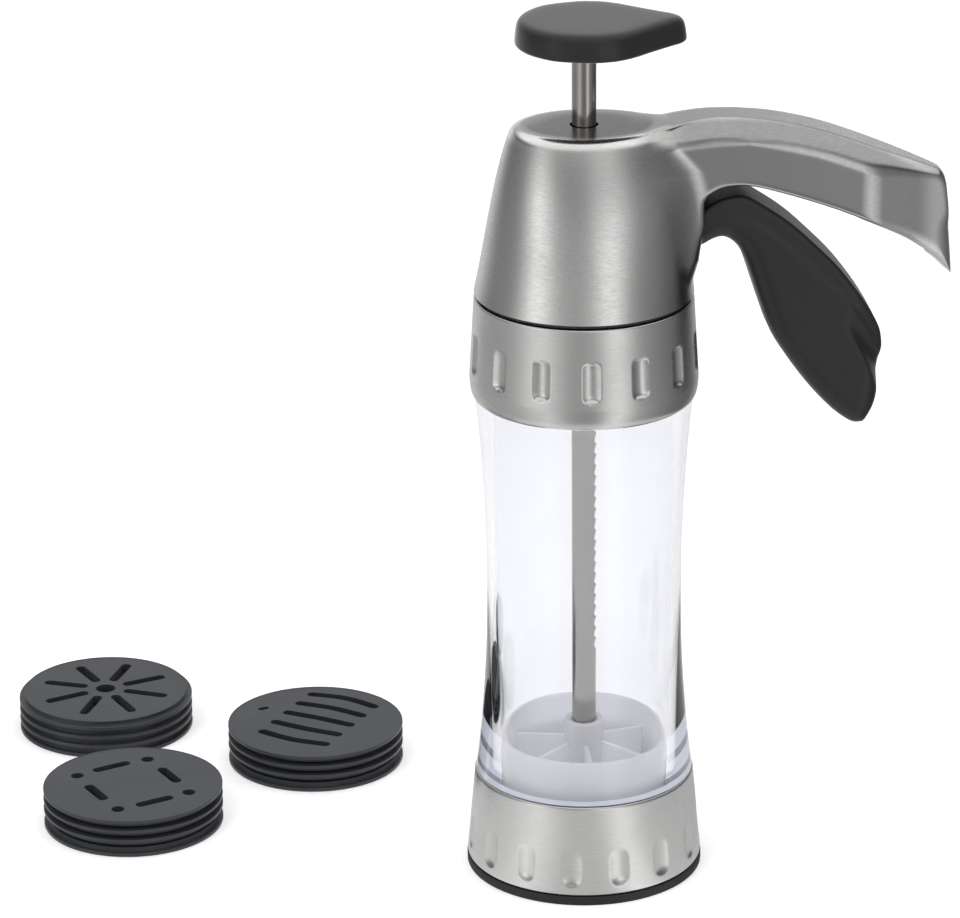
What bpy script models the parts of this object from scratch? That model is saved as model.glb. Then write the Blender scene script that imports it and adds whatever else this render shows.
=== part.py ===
"""A lever-action cookie press with its set of loose dies.

Metres, +Z up. The floor is z = 0, and the origin is the middle of the footprint
of the press and its three stacks of dies. The press stands with its handle
towards +X, and every piece of it is laid out from the press's own upright axis.
"""

import math

import bmesh
import bpy
from mathutils import Matrix, Vector

# Fits, and how finely round shapes are cut
GAP = 0.0003
CUT_OVERRUN = 0.002
MERGE_DISTANCE = 0.000005
ROUND_STEPS = 40
RING_STEPS = 32
SMALL_STEPS = 16
TINY_STEPS = 10

# Clear barrel: a straight bore inside an hourglass, with a plain neck at each end
BORE_RADIUS = 0.0232
NECK_WALL = 0.0017
BARREL_FOOT_WALL = 0.0058
BARREL_WAIST_WALL = 0.0026
BARREL_SHOULDER_WALL = 0.0055
BARREL_CLEAR_LENGTH = 0.1062
BARREL_WAIST_SHARE = 0.48
BARREL_RINGS = 8

# Bayonet lugs on both necks, and the ring grooves that they turn in
LUG_COUNT = 4
LUG_REACH = 0.0011
LUG_HEIGHT = 0.0030
LUG_WIDTH = 0.0060
LUG_ROOT = 0.0005
LUG_INSET = 0.0034
LUG_PLAY = 0.0004
LOCK_TURN = math.radians(45)
LOCK_RING_WALL = 0.0009

# Base: rubber foot, steel collar and the insert that seats a die
FOOT_HEIGHT = 0.0024
FOOT_PROUD = 0.0001
FOOT_EDGE = 0.0005
FOOT_RIB_WIDTH = 0.0010
FOOT_RIB_HEIGHT = 0.0014
BASE_COLLAR_HEIGHT = 0.0248
BASE_COLLAR_FOOT_WALL = 0.0039
BASE_COLLAR_TOP_WALL = 0.0017
DIE_SEAT_HEIGHT = 0.0069
DIE_SEAT_STEP = 0.0012
COLLAR_EDGE = 0.0006

# Finger flutes pressed into both collars
BASE_FLUTE_COUNT = 15
BASE_FLUTE_TURN = math.radians(17)
UPPER_FLUTE_COUNT = 14
UPPER_FLUTE_TURN = math.radians(9.8)
FLUTE_WIDTH = 0.0056
FLUTE_DEPTH = 0.0007
BASE_FLUTE_LOW = 0.0037
BASE_FLUTE_LENGTH = 0.0102
UPPER_FLUTE_LOW = 0.0067
UPPER_FLUTE_LENGTH = 0.0120
FLUTE_SIDES = 14
FLUTE_RINGS = 7

# Upper collar and the ring that joins it to the barrel's top neck
UPPER_COLLAR_HEIGHT = 0.0270
UPPER_COLLAR_LOW_WALL = 0.0013
UPPER_COLLAR_BULGE_WALL = 0.0025
UPPER_COLLAR_TOP_WALL = 0.0012
UPPER_COLLAR_BULGE_HEIGHT = 0.0052
UPPER_COLLAR_ARC_STEPS = 4
COLLAR_RING_HEIGHT = 0.0150
NECK_RECESS = 0.0028

# Head frame: lock ring, plate, two cheeks and a bridge
HEAD_SEAT_GAP = 0.0005
FLANGE_THICKNESS = 0.0006
FLANGE_INSET = 0.0008
LOCK_SKIRT_LENGTH = 0.0090
CHEEK_THICKNESS = 0.0022
CHEEK_BACK = 0.0080
CHEEK_PIVOT_MARGIN = 0.0040
CHEEK_TOP_MARGIN = 0.0045
CHEEK_NECK_RISE = 0.0040
BRIDGE_DROP = 0.0085
BRIDGE_THICKNESS = 0.0040

# Head shell: a cone that draws in to an oval top, with a hollow arm over the lever
HEAD_HEIGHT = 0.0460
HEAD_WALL = 0.0015
HEAD_LOOP_STEPS = 40
HEAD_SECTION_SHARES = (
    # height, left reach, right reach and half depth
    (0.000, 1.000, 1.000, 1.000),
    (0.260, 0.910, 1.031, 0.896),
    (0.526, 0.844, 1.056, 0.785),
    (0.750, 0.764, 0.990, 0.660),
    (0.907, 0.674, 0.850, 0.549),
    (0.959, 0.622, 0.764, 0.497),
    (1.000, 0.562, 0.642, 0.400),
)
ROD_HOLE_PLAY = 0.0006

# Arm: sections from inside the head to the tip, each from its top to its lower edge
ARM_REACH = 0.0965
ARM_RISE = 0.0475
ARM_INNER_STEP = 0.0002
ARM_WALL = 0.0012
ARM_FACET_HALF_WIDTH = 0.0035
ARM_SHOULDER_DROP = 0.0017
ARM_SECTION_SHARES = (
    # top reach, top rise, lower reach, lower rise
    (0.124, 0.954, 0.124, 0.474),
    (0.247, 0.985, 0.247, 0.505),
    (0.350, 1.000, 0.340, 0.575),
    (0.432, 0.985, 0.397, 0.619),
    (0.535, 0.947, 0.484, 0.596),
    (0.659, 0.874, 0.597, 0.526),
    (0.814, 0.758, 0.721, 0.427),
    (0.906, 0.682, 0.844, 0.297),
    (0.950, 0.642, 0.946, 0.165),
    (0.977, 0.575, 1.000, 0.052),
)
WINDOW_RISE = 0.0120
WINDOW_DROP = 0.0058
WINDOW_SIDE_PLAY = 0.0006
WINDOW_DEPTH = 0.0060

# Screws that hold the frame in the shell
SCREW_ANGLES = (math.radians(90), math.radians(180), math.radians(270))
SCREW_CIRCLE_RADIUS = 0.0205
SCREW_BOSS_RADIUS = 0.0031
SCREW_BOSS_HEIGHT = 0.0095
SCREW_RIB_WIDTH = 0.0020
SCREW_RADIUS = 0.0014
SCREW_BITE = 0.0070
SCREW_HEAD_RADIUS = 0.0026
SCREW_HEAD_HEIGHT = 0.0011

# Lever: pivot, forked inner arm, stiff core and soft grip
PIVOT_SETBACK = 0.0093
PIVOT_RISE = 0.0155
LEVER_PIN_RADIUS = 0.0020
LEVER_BOSS_RADIUS = 0.0042
INNER_ARM_LENGTH = 0.0110
INNER_ARM_TILT = math.radians(14)
INNER_ARM_HALF_HEIGHT = 0.0032
INNER_ARM_HALF_WIDTH = 0.0062
CORE_HALF_HEIGHT = 0.0030
CORE_HALF_WIDTH = 0.0030
LEVER_REACH = 0.0590
LEVER_DROP = 0.0539
LEVER_HALF_WIDTH = 0.0082
LEVER_EDGE = 0.0024
LEVER_OUTLINE_SHARES = (
    # reach from the pivot as a share of LEVER_REACH, height as a share of LEVER_DROP
    (0.193, 0.130), (0.243, 0.178), (0.310, 0.200), (0.374, 0.197), (0.466, 0.137),
    (0.575, 0.051), (0.683, -0.060), (0.794, -0.188), (0.906, -0.356), (0.977, -0.497),
    (0.997, -0.572), (1.000, -0.648), (0.986, -0.771), (0.968, -0.896), (0.927, -0.985),
    (0.896, -1.000), (0.855, -0.992), (0.790, -0.941), (0.720, -0.864), (0.646, -0.767),
    (0.571, -0.652), (0.496, -0.518), (0.449, -0.380), (0.407, -0.240), (0.376, -0.140),
    (0.343, -0.068), (0.300, -0.026), (0.265, -0.016), (0.226, -0.028), (0.191, -0.050),
)
CORE_PATH_SHARES = (
    (0.000, 0.000), (0.126, 0.036), (0.260, 0.074), (0.377, 0.050),
    (0.511, -0.084), (0.645, -0.269), (0.754, -0.483), (0.812, -0.704),
)

# Drive pawl, its pin and the lever's return spring
PAWL_PIN_RADIUS = 0.00125
PAWL_BOSS_RADIUS = 0.0027
PAWL_HALF_WIDTH = 0.0020
PAWL_SIDE_PLAY = 0.0020
PAWL_REST_GAP = 0.0007
PAWL_TIP_DROP = 0.0045
PAWL_TIP_HEIGHT = 0.0013
PAWL_NOSE_LIFT = 0.0018
SPRING_RADIUS = 0.0024
SPRING_WIRE_RADIUS = 0.00045
SPRING_TURNS = 5
SPRING_TURN_POINTS = 8

# Ratchet rod, its bushes and its friction ring
ROD_RADIUS = 0.0032
ROD_BORE_PLAY = 0.0003
ROD_SHOW = 0.0205
ROD_SCREW_HOLE_DEPTH = 0.0070
TOOTH_PITCH = 0.0032
TOOTH_COUNT = 36
TOOTH_DEPTH = 0.0007
TOOTH_FLAT_SHARE = 0.3
BUSH_WALL = 0.0012
BUSH_FLANGE_RADIUS = 0.0064
BUSH_FLANGE_THICKNESS = 0.0010
RING_HEIGHT = 0.0017
RING_WIDTH = 0.0016
RING_CUP_WALL = 0.0010

# Piston: a thin cup with a hub and gussets, held by a screw from below
PISTON_SIDE_GAP = 0.0007
PISTON_WALL = 0.0014
PISTON_FLOOR = 0.0025
PISTON_HEIGHT = 0.0270
PISTON_HUB_WALL = 0.0018
PISTON_HUB_HEIGHT = 0.0276
GUSSET_COUNT = 6
GUSSET_THICKNESS = 0.0012
GUSSET_RIM_DROP = 0.0060
PISTON_SCREW_RADIUS = 0.0014
PISTON_SCREW_HEAD_RADIUS = 0.0052
PISTON_SCREW_HEAD_HEIGHT = 0.0012

# Knob: a soft rounded pick shape over a stiff core
KNOB_HEIGHT = 0.0070
KNOB_LONG_REACH = 0.0266
KNOB_SHORT_REACH = 0.0179
KNOB_HALF_DEPTH = 0.0180
KNOB_LOOP_STEPS = 32
KNOB_CORE_RADIUS = 0.0080
KNOB_CORE_HEIGHT = 0.0034
KNOB_OUTLINE_SHARES = (
    # reach along X, from the short end to the long tip, and half depth
    (-1.000, 0.000), (-0.950, 0.300), (-0.800, 0.590), (-0.500, 0.865), (0.000, 1.000),
    (0.180, 0.985), (0.300, 0.930), (0.450, 0.790), (0.620, 0.570), (0.830, 0.310),
    (0.960, 0.150), (1.000, 0.000),
)
KNOB_LAYER_SHARES = (
    # height and outline scale
    (0.00, 0.94), (0.12, 1.00), (0.45, 0.99), (0.72, 0.97), (0.90, 0.93), (1.00, 0.80),
)

# Dies: a flange and a slightly smaller boss, with a different cut-out each
DIE_RADIUS = 0.0246
DIE_BOSS_STEP = 0.0015
DIE_THICKNESS = 0.0025
DIE_FLANGE_THICKNESS = 0.0011
DIE_STEPS = 28
DIE_SLOT_WIDTH = 0.0026
DIE_DOT_RADIUS = 0.0018
DIE_HUB_HOLE_RADIUS = 0.0028
DOT_STEPS = 8
CORNER_TURN = math.radians(24)
COMB_TURN = math.radians(-32.6)
ONE_SLOT_SHARES = (0.0,)
THREE_SLOT_SHARES = (-0.30, 0.0, 0.30)
FIVE_SLOT_SHARES = (-0.59, -0.30, 0.0, 0.30, 0.59)
FRONT_STACK_PLACE = (-0.1203, 0.0379)
SIDE_STACK_PLACE = (-0.0673, 0.0742)
BACK_STACK_PLACE = (-0.1252, 0.1045)

# Radii that follow from the barrel outwards
NECK_RADIUS = BORE_RADIUS + NECK_WALL
NECK_BORE_RADIUS = NECK_RADIUS + GAP
LUG_RADIUS = NECK_RADIUS + LUG_REACH
GROOVE_RADIUS = LUG_RADIUS + LUG_PLAY
LOCK_RING_RADIUS = GROOVE_RADIUS + LOCK_RING_WALL
COLLAR_BORE_RADIUS = LOCK_RING_RADIUS + GAP
BASE_FOOT_RADIUS = COLLAR_BORE_RADIUS + BASE_COLLAR_FOOT_WALL
BASE_TOP_RADIUS = COLLAR_BORE_RADIUS + BASE_COLLAR_TOP_WALL
FOOT_RADIUS = BASE_FOOT_RADIUS + FOOT_PROUD
HEAD_RADIUS = COLLAR_BORE_RADIUS + UPPER_COLLAR_TOP_WALL
MOUTH_RADIUS = BORE_RADIUS - DIE_SEAT_STEP
PISTON_RADIUS = BORE_RADIUS - PISTON_SIDE_GAP
ROD_BORE_RADIUS = ROD_RADIUS + ROD_BORE_PLAY
BUSH_RADIUS = ROD_BORE_RADIUS + BUSH_WALL
PISTON_HUB_RADIUS = ROD_BORE_RADIUS + PISTON_HUB_WALL

# Heights that follow from the floor upwards
BASE_Z = FOOT_HEIGHT + GAP
BASE_TOP_Z = BASE_Z + BASE_COLLAR_HEIGHT
DIE_SEAT_Z = BASE_Z + DIE_SEAT_HEIGHT
BARREL_END_Z = DIE_SEAT_Z + DIE_THICKNESS + 2 * GAP
BARREL_FOOT_Z = BASE_TOP_Z + GAP
BARREL_SHOULDER_Z = BARREL_FOOT_Z + BARREL_CLEAR_LENGTH
UPPER_COLLAR_Z = BARREL_SHOULDER_Z + GAP
UPPER_TOP_Z = UPPER_COLLAR_Z + UPPER_COLLAR_HEIGHT
BARREL_TOP_Z = UPPER_TOP_Z - NECK_RECESS
FRAME_PLATE_Z = BARREL_TOP_Z + HEAD_SEAT_GAP
FLANGE_Z = UPPER_TOP_Z + GAP
FRAME_TOP_Z = FLANGE_Z + FLANGE_THICKNESS
SHELL_Z = FRAME_TOP_Z + GAP
HEAD_TOP_Z = SHELL_Z + HEAD_HEIGHT
LOWER_LUG_Z = BARREL_END_Z + LUG_INSET
UPPER_LUG_Z = BARREL_TOP_Z - LUG_INSET - LUG_HEIGHT
PIVOT_X = HEAD_RADIUS - PIVOT_SETBACK
PIVOT_Z = SHELL_Z + PIVOT_RISE
PAWL_PIN_X = PIVOT_X - INNER_ARM_LENGTH * math.cos(INNER_ARM_TILT)
PAWL_PIN_Z = PIVOT_Z + INNER_ARM_LENGTH * math.sin(INNER_ARM_TILT)
CHEEK_INNER_Y = LEVER_HALF_WIDTH + WINDOW_SIDE_PLAY
CHEEK_OUTER_Y = CHEEK_INNER_Y + CHEEK_THICKNESS
ARM_HALF_WIDTH = CHEEK_INNER_Y + ARM_INNER_STEP + ARM_WALL
BRIDGE_Z = HEAD_TOP_Z - HEAD_WALL - BRIDGE_DROP
PISTON_Z = BARREL_END_Z
KNOB_Z = HEAD_TOP_Z + ROD_SHOW
FORK_END_X = PAWL_PIN_X + PAWL_BOSS_RADIUS + GAP
SPRING_X = FORK_END_X + SPRING_RADIUS / 2

# The press's axis, set so that the whole set stands centred on the origin
LOW_X = BACK_STACK_PLACE[0] - DIE_RADIUS
HIGH_X = ARM_REACH
LOW_Y = -FOOT_RADIUS
HIGH_Y = BACK_STACK_PLACE[1] + DIE_RADIUS
PRESS_PLACE = (-(LOW_X + HIGH_X) / 2, -(LOW_Y + HIGH_Y) / 2, 0.0)


def finish(name, colour, roughness, metallic=0.0, transmission=0.0):
    """A Principled material."""
    material = bpy.data.materials.new(name)
    material.use_nodes = True
    shader = material.node_tree.nodes["Principled BSDF"]
    shader.inputs["Base Color"].default_value = (*colour, 1.0)
    shader.inputs["Roughness"].default_value = roughness
    shader.inputs["Metallic"].default_value = metallic
    shader.inputs["Transmission Weight"].default_value = transmission
    return material


def collection(name, hidden=False):
    group = bpy.data.collections.new(name)
    group.hide_render = hidden
    bpy.context.scene.collection.children.link(group)
    return group


def place_of(carrier):
    """Where a carrier stands, measured from the press's axis on the floor."""
    place = Vector((0.0, 0.0, 0.0))
    while carrier.parent:
        place += carrier.location
        carrier = carrier.parent
    return place


def axis_empty(name, parent, x=0.0, y=0.0, z=0.0):
    """An empty on a joint's axis, placed from the press's own axis on the floor."""
    empty = bpy.data.objects.new(name, None)
    PARTS.objects.link(empty)
    empty.parent = parent
    empty.location = Vector((x, y, z)) - place_of(parent)
    return empty


def press_object(name, mesh, carrier, group, place=(0.0, 0.0, 0.0)):
    """An object whose mesh is drawn from the press's axis, parented to a carrier."""
    piece = bpy.data.objects.new(name, mesh)
    group.objects.link(piece)
    piece.parent = carrier
    piece.location = Vector(place) - place_of(carrier)
    if group == CUTTERS:
        piece.hide_render = True
        piece.display_type = "WIRE"
    return piece


def smooth(piece, angle=math.radians(35)):
    piece.data.shade_smooth()
    piece.data.set_sharp_from_angle(angle=angle)


def dress(piece, material):
    piece.data.materials.clear()
    piece.data.materials.append(material)
    smooth(piece)
    return piece


def turned(name, profile, carrier, group=None, steps=ROUND_STEPS, close=True):
    """A turned solid: a profile at +X, run top to bottom down its outer side."""
    mesh = bpy.data.meshes.new(name)
    count = len(profile)
    links = [(index, index + 1) for index in range(count - 1)]
    if close:
        links.append((count - 1, 0))
    mesh.from_pydata([(radius, 0.0, z) for radius, z in profile], links, [])
    piece = press_object(name, mesh, carrier, group or PARTS)
    screw = piece.modifiers.new("Turn", "SCREW")
    screw.steps = steps
    screw.render_steps = steps
    screw.use_merge_vertices = True
    screw.merge_threshold = MERGE_DISTANCE
    screw.use_smooth_shade = True
    return piece


def cut(piece, tool, operation="DIFFERENCE"):
    modifier = piece.modifiers.new(tool.name, "BOOLEAN")
    modifier.operation = operation
    modifier.solver = "EXACT"
    modifier.object = tool
    return piece


def mesh_from(name, build):
    """A mesh filled in by a function that works on a bmesh."""
    mesh = bpy.data.meshes.new(name)
    work = bmesh.new()
    build(work)
    bmesh.ops.recalc_face_normals(work, faces=work.faces)
    work.to_mesh(mesh)
    work.free()
    return mesh


def plate_mesh(name, outlines, half_depth, turn=Matrix.Identity(4)):
    """Flat outlines given thickness as filled 2D curves, welded to closed solids."""
    curve = bpy.data.curves.new(name, "CURVE")
    curve.dimensions = "2D"
    curve.fill_mode = "BOTH"
    curve.extrude = half_depth
    for outline in outlines:
        spline = curve.splines.new("POLY")
        spline.points.add(len(outline) - 1)
        for point, (x, y) in zip(spline.points, outline):
            point.co = (x, y, 0.0, 1.0)
        spline.use_cyclic_u = True
    guide = bpy.data.objects.new(name, curve)
    CUTTERS.objects.link(guide)
    bpy.context.view_layer.update()
    depsgraph = bpy.context.evaluated_depsgraph_get()
    mesh = bpy.data.meshes.new_from_object(guide.evaluated_get(depsgraph))
    bpy.data.objects.remove(guide)
    work = bmesh.new()
    work.from_mesh(mesh)
    bmesh.ops.remove_doubles(work, verts=work.verts, dist=MERGE_DISTANCE)
    bmesh.ops.transform(work, matrix=turn, verts=work.verts)
    bmesh.ops.recalc_face_normals(work, faces=work.faces)
    work.to_mesh(mesh)
    work.free()
    return mesh


UPRIGHT = Matrix.Rotation(math.radians(90), 4, "X")


def side_plate(name, outline, half_width, carrier, group, middle_y=0.0):
    """An outline in the X-Z plane, thickened along Y."""
    turn = Matrix.Translation((0.0, middle_y, 0.0)) @ UPRIGHT
    mesh = plate_mesh(name, [outline], half_width, turn)
    return press_object(name, mesh, carrier, group)


def block(work, low, high, turn=Matrix.Identity(4)):
    """A box between two corners."""
    low = Vector(low)
    high = Vector(high)
    size = Matrix.Diagonal((*(high - low), 1.0))
    place = Matrix.Translation((low + high) / 2)
    bmesh.ops.create_cube(work, size=1.0, matrix=turn @ place @ size)


def cross_rod(work, x, z, radius, half_length, steps=SMALL_STEPS):
    """A cylinder along Y."""
    turn = Matrix.Translation((x, 0.0, z)) @ UPRIGHT
    bmesh.ops.create_cone(
        work, cap_ends=True, segments=steps, radius1=radius, radius2=radius,
        depth=2 * half_length, matrix=turn,
    )


def loft(work, rings):
    """A closed solid through rings of points, capped at both ends."""
    rows = [[work.verts.new(point) for point in ring] for ring in rings]
    count = len(rows[0])
    for lower, upper in zip(rows, rows[1:]):
        for index in range(count):
            after = (index + 1) % count
            work.faces.new((lower[index], lower[after], upper[after], upper[index]))
    work.faces.new(rows[0])
    work.faces.new(rows[-1])


def stadium(start, end, width, round_steps=2):
    """The outline of a slot with round ends."""
    start = Vector(start)
    end = Vector(end)
    heading = math.atan2(end.y - start.y, end.x - start.x)
    points = []
    for centre, first in ((end, heading - math.pi / 2), (start, heading + math.pi / 2)):
        for step in range(round_steps + 1):
            angle = first + math.pi * step / round_steps
            points.append((
                centre.x + width / 2 * math.cos(angle),
                centre.y + width / 2 * math.sin(angle),
            ))
    return points


def ribbon(path, half_width):
    """The outline of a band of constant width along a path."""
    left = []
    right = []
    for index, (x, z) in enumerate(path):
        before = Vector(path[max(index - 1, 0)])
        after = Vector(path[min(index + 1, len(path) - 1)])
        along = (after - before).normalized()
        left.append((x - along.y * half_width, z + along.x * half_width))
        right.append((x + along.y * half_width, z - along.x * half_width))
    return left + right[::-1]


def half_loop(points, steps):
    """A smooth closed loop, mirrored over X, through points that run from end to end."""
    closed = list(points) + [(x, -y) for x, y in points[-2:0:-1]]
    count = len(closed)
    loop = []
    for step in range(steps):
        along = count * step / steps
        index = int(along)
        t = along - index
        a, b, c, d = (Vector(closed[(index + shift) % count]) for shift in (-1, 0, 1, 2))
        linear = (c - a) * t
        square = (2 * a - 5 * b + 4 * c - d) * t ** 2
        cubic = (3 * b - a - 3 * c + d) * t ** 3
        loop.append(b + (linear + square + cubic) / 2)
    return loop


def barrel_radius(height_share):
    """The hourglass: walls swell away from the waist as the square of the distance."""
    if height_share < BARREL_WAIST_SHARE:
        end_wall = BARREL_FOOT_WALL
        away = 1 - height_share / BARREL_WAIST_SHARE
    else:
        end_wall = BARREL_SHOULDER_WALL
        away = (height_share - BARREL_WAIST_SHARE) / (1 - BARREL_WAIST_SHARE)
    return BORE_RADIUS + BARREL_WAIST_WALL + (end_wall - BARREL_WAIST_WALL) * away ** 2


def lock_ring_bore(low_z, high_z, groove_z):
    """The bore of a lock ring, from its low end up, with the groove that lugs turn in."""
    return [
        (NECK_BORE_RADIUS, low_z),
        (NECK_BORE_RADIUS, groove_z - LUG_PLAY),
        (GROOVE_RADIUS, groove_z - LUG_PLAY),
        (GROOVE_RADIUS, groove_z + LUG_HEIGHT + LUG_PLAY),
        (NECK_BORE_RADIUS, groove_z + LUG_HEIGHT + LUG_PLAY),
        (NECK_BORE_RADIUS, high_z),
    ]


def lug_turns(start=0.0):
    for index in range(LUG_COUNT):
        yield Matrix.Rotation(start + math.tau * index / LUG_COUNT, 4, "Z")


def entry_slots(name, low_z, high_z, carrier):
    """The upright slots that let the lugs into a lock ring's groove."""
    half = LUG_WIDTH / 2 + 2 * LUG_PLAY

    def build(work):
        for turn in lug_turns(LOCK_TURN):
            low = (NECK_RADIUS - CUT_OVERRUN, -half, low_z)
            block(work, low, (GROOVE_RADIUS, half, high_z), turn)

    return press_object(name, mesh_from(name, build), carrier, CUTTERS)


def flutes(name, low_z, length, count, first_turn, foot, top, carrier):
    """Shallow upright grooves round a collar whose side runs from foot to top."""
    (foot_radius, foot_z), (top_radius, top_z) = foot, top
    tool_radius = (FLUTE_WIDTH ** 2 / 4 + FLUTE_DEPTH ** 2) / (2 * FLUTE_DEPTH)
    middle_z = low_z + length / 2
    share = (middle_z - foot_z) / (top_z - foot_z)
    surface = foot_radius + (top_radius - foot_radius) * share
    lean = math.atan2(top_radius - foot_radius, top_z - foot_z)
    stretch = (length - FLUTE_WIDTH) / 2

    def build(work):
        for index in range(count):
            spin = Matrix.Rotation(first_turn + math.tau * index / count, 4, "Z")
            place = Matrix.Translation((surface + tool_radius - FLUTE_DEPTH, 0.0, middle_z))
            made = bmesh.ops.create_uvsphere(
                work, u_segments=FLUTE_SIDES, v_segments=FLUTE_RINGS, radius=tool_radius,
            )
            for vert in made["verts"]:
                vert.co.z += math.copysign(stretch, vert.co.z)
            turn = spin @ place @ Matrix.Rotation(lean, 4, "Y")
            bmesh.ops.transform(work, matrix=turn, verts=made["verts"])

    return press_object(name, mesh_from(name, build), carrier, CUTTERS)


def make_base(body):
    """Foot ring, fluted collar and the insert that a die drops onto."""
    rib_radius = (MOUTH_RADIUS + LOCK_RING_RADIUS) / 2
    rib_half = FOOT_RIB_WIDTH / 2
    foot_bore = MOUTH_RADIUS + FOOT_RIB_WIDTH
    foot = turned("foot_ring", [
        (rib_radius - rib_half, FOOT_HEIGHT + FOOT_RIB_HEIGHT),
        (rib_radius + rib_half, FOOT_HEIGHT + FOOT_RIB_HEIGHT),
        (rib_radius + rib_half, FOOT_HEIGHT),
        (FOOT_RADIUS, FOOT_HEIGHT),
        (FOOT_RADIUS, FOOT_EDGE),
        (FOOT_RADIUS - FOOT_EDGE, 0.0),
        (foot_bore, 0.0),
        (foot_bore, FOOT_HEIGHT),
        (rib_radius - rib_half, FOOT_HEIGHT),
    ], body)
    dress(foot, RUBBER)

    collar = turned("base_collar", [
        (COLLAR_BORE_RADIUS, BASE_TOP_Z),
        (BASE_TOP_RADIUS - COLLAR_EDGE, BASE_TOP_Z),
        (BASE_TOP_RADIUS, BASE_TOP_Z - COLLAR_EDGE),
        (BASE_FOOT_RADIUS, BASE_Z + COLLAR_EDGE),
        (BASE_FOOT_RADIUS - COLLAR_EDGE, BASE_Z),
        (COLLAR_BORE_RADIUS, BASE_Z),
    ], body)
    foot_end = (BASE_FOOT_RADIUS, BASE_Z)
    top_end = (BASE_TOP_RADIUS, BASE_TOP_Z)
    low_z = BASE_Z + BASE_FLUTE_LOW
    cut(collar, flutes(
        "base_flutes", low_z, BASE_FLUTE_LENGTH, BASE_FLUTE_COUNT, BASE_FLUTE_TURN,
        foot_end, top_end, body))
    dress(collar, STEEL)

    groove_half = rib_half + GAP
    groove_top = BASE_Z + FOOT_RIB_HEIGHT + GAP
    insert_top = BASE_TOP_Z - GAP
    bore = lock_ring_bore(DIE_SEAT_Z, insert_top, LOWER_LUG_Z)
    insert = turned("base_insert", [
        (LOCK_RING_RADIUS, insert_top),
        (LOCK_RING_RADIUS, BASE_Z),
        (rib_radius + groove_half, BASE_Z),
        (rib_radius + groove_half, groove_top),
        (rib_radius - groove_half, groove_top),
        (rib_radius - groove_half, BASE_Z),
        (MOUTH_RADIUS, BASE_Z),
        (MOUTH_RADIUS, DIE_SEAT_Z),
    ] + bore, body, steps=RING_STEPS)
    slot_low = LOWER_LUG_Z + LUG_HEIGHT / 2
    cut(insert, entry_slots("base_entry_slots", slot_low, BASE_TOP_Z + CUT_OVERRUN, body))
    dress(insert, BLACK_PLASTIC)


def make_barrel(body):
    """Clear barrel with its lugs, the fluted upper collar and the ring inside it."""
    profile = [(BORE_RADIUS, BARREL_TOP_Z), (NECK_RADIUS, BARREL_TOP_Z)]
    profile.append((NECK_RADIUS, BARREL_SHOULDER_Z))
    for ring in range(BARREL_RINGS + 1):
        share = 1 - ring / BARREL_RINGS
        profile.append((barrel_radius(share), BARREL_FOOT_Z + BARREL_CLEAR_LENGTH * share))
    profile.append((NECK_RADIUS, BARREL_FOOT_Z))
    profile.append((NECK_RADIUS, BARREL_END_Z))
    profile.append((BORE_RADIUS, BARREL_END_Z))
    barrel = turned("barrel", profile, body)

    def build_lugs(work):
        for low_z in (LOWER_LUG_Z, UPPER_LUG_Z):
            for turn in lug_turns():
                low = (NECK_RADIUS - LUG_ROOT, -LUG_WIDTH / 2, low_z)
                high = (LUG_RADIUS, LUG_WIDTH / 2, low_z + LUG_HEIGHT)
                block(work, low, high, turn)

    lugs = press_object("barrel_lugs", mesh_from("barrel_lugs", build_lugs), body, CUTTERS)
    cut(barrel, lugs, "UNION")
    dress(barrel, CLEAR_PLASTIC)

    low_radius = COLLAR_BORE_RADIUS + UPPER_COLLAR_LOW_WALL
    bulge_radius = COLLAR_BORE_RADIUS + UPPER_COLLAR_BULGE_WALL
    bulge_z = UPPER_COLLAR_Z + UPPER_COLLAR_BULGE_HEIGHT
    profile = [
        (COLLAR_BORE_RADIUS, UPPER_TOP_Z),
        (HEAD_RADIUS - COLLAR_EDGE, UPPER_TOP_Z),
        (HEAD_RADIUS, UPPER_TOP_Z - COLLAR_EDGE),
    ]
    for step in range(UPPER_COLLAR_ARC_STEPS + 1):
        angle = math.pi / 2 * step / UPPER_COLLAR_ARC_STEPS
        profile.append((
            low_radius + (bulge_radius - low_radius) * math.cos(angle),
            bulge_z - UPPER_COLLAR_BULGE_HEIGHT * math.sin(angle),
        ))
    profile.append((COLLAR_BORE_RADIUS, UPPER_COLLAR_Z))
    collar = turned("upper_collar", profile, body)
    low_z = UPPER_COLLAR_Z + UPPER_FLUTE_LOW
    foot_end = (bulge_radius, bulge_z)
    top_end = (HEAD_RADIUS, UPPER_TOP_Z)
    cut(collar, flutes(
        "upper_flutes", low_z, UPPER_FLUTE_LENGTH, UPPER_FLUTE_COUNT, UPPER_FLUTE_TURN,
        foot_end, top_end, body))
    dress(collar, STEEL)

    ring_z = UPPER_COLLAR_Z + GAP
    ring = turned("collar_ring", [
        (NECK_BORE_RADIUS, ring_z + COLLAR_RING_HEIGHT),
        (LOCK_RING_RADIUS, ring_z + COLLAR_RING_HEIGHT),
        (LOCK_RING_RADIUS, ring_z),
        (NECK_BORE_RADIUS, ring_z),
    ], body, steps=RING_STEPS)
    dress(ring, BLACK_PLASTIC)


def screw_turns():
    for angle in SCREW_ANGLES:
        yield Matrix.Rotation(angle, 4, "Z") @ Matrix.Translation((SCREW_CIRCLE_RADIUS, 0.0, 0.0))


def posts(name, radius, low_z, high_z, carrier):
    """Round posts at the head screws' places."""
    middle = Matrix.Translation((0.0, 0.0, (low_z + high_z) / 2))

    def build(work):
        for turn in screw_turns():
            bmesh.ops.create_cone(
                work, cap_ends=True, segments=TINY_STEPS, radius1=radius, radius2=radius,
                depth=high_z - low_z, matrix=turn @ middle,
            )

    return press_object(name, mesh_from(name, build), carrier, CUTTERS)


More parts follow.
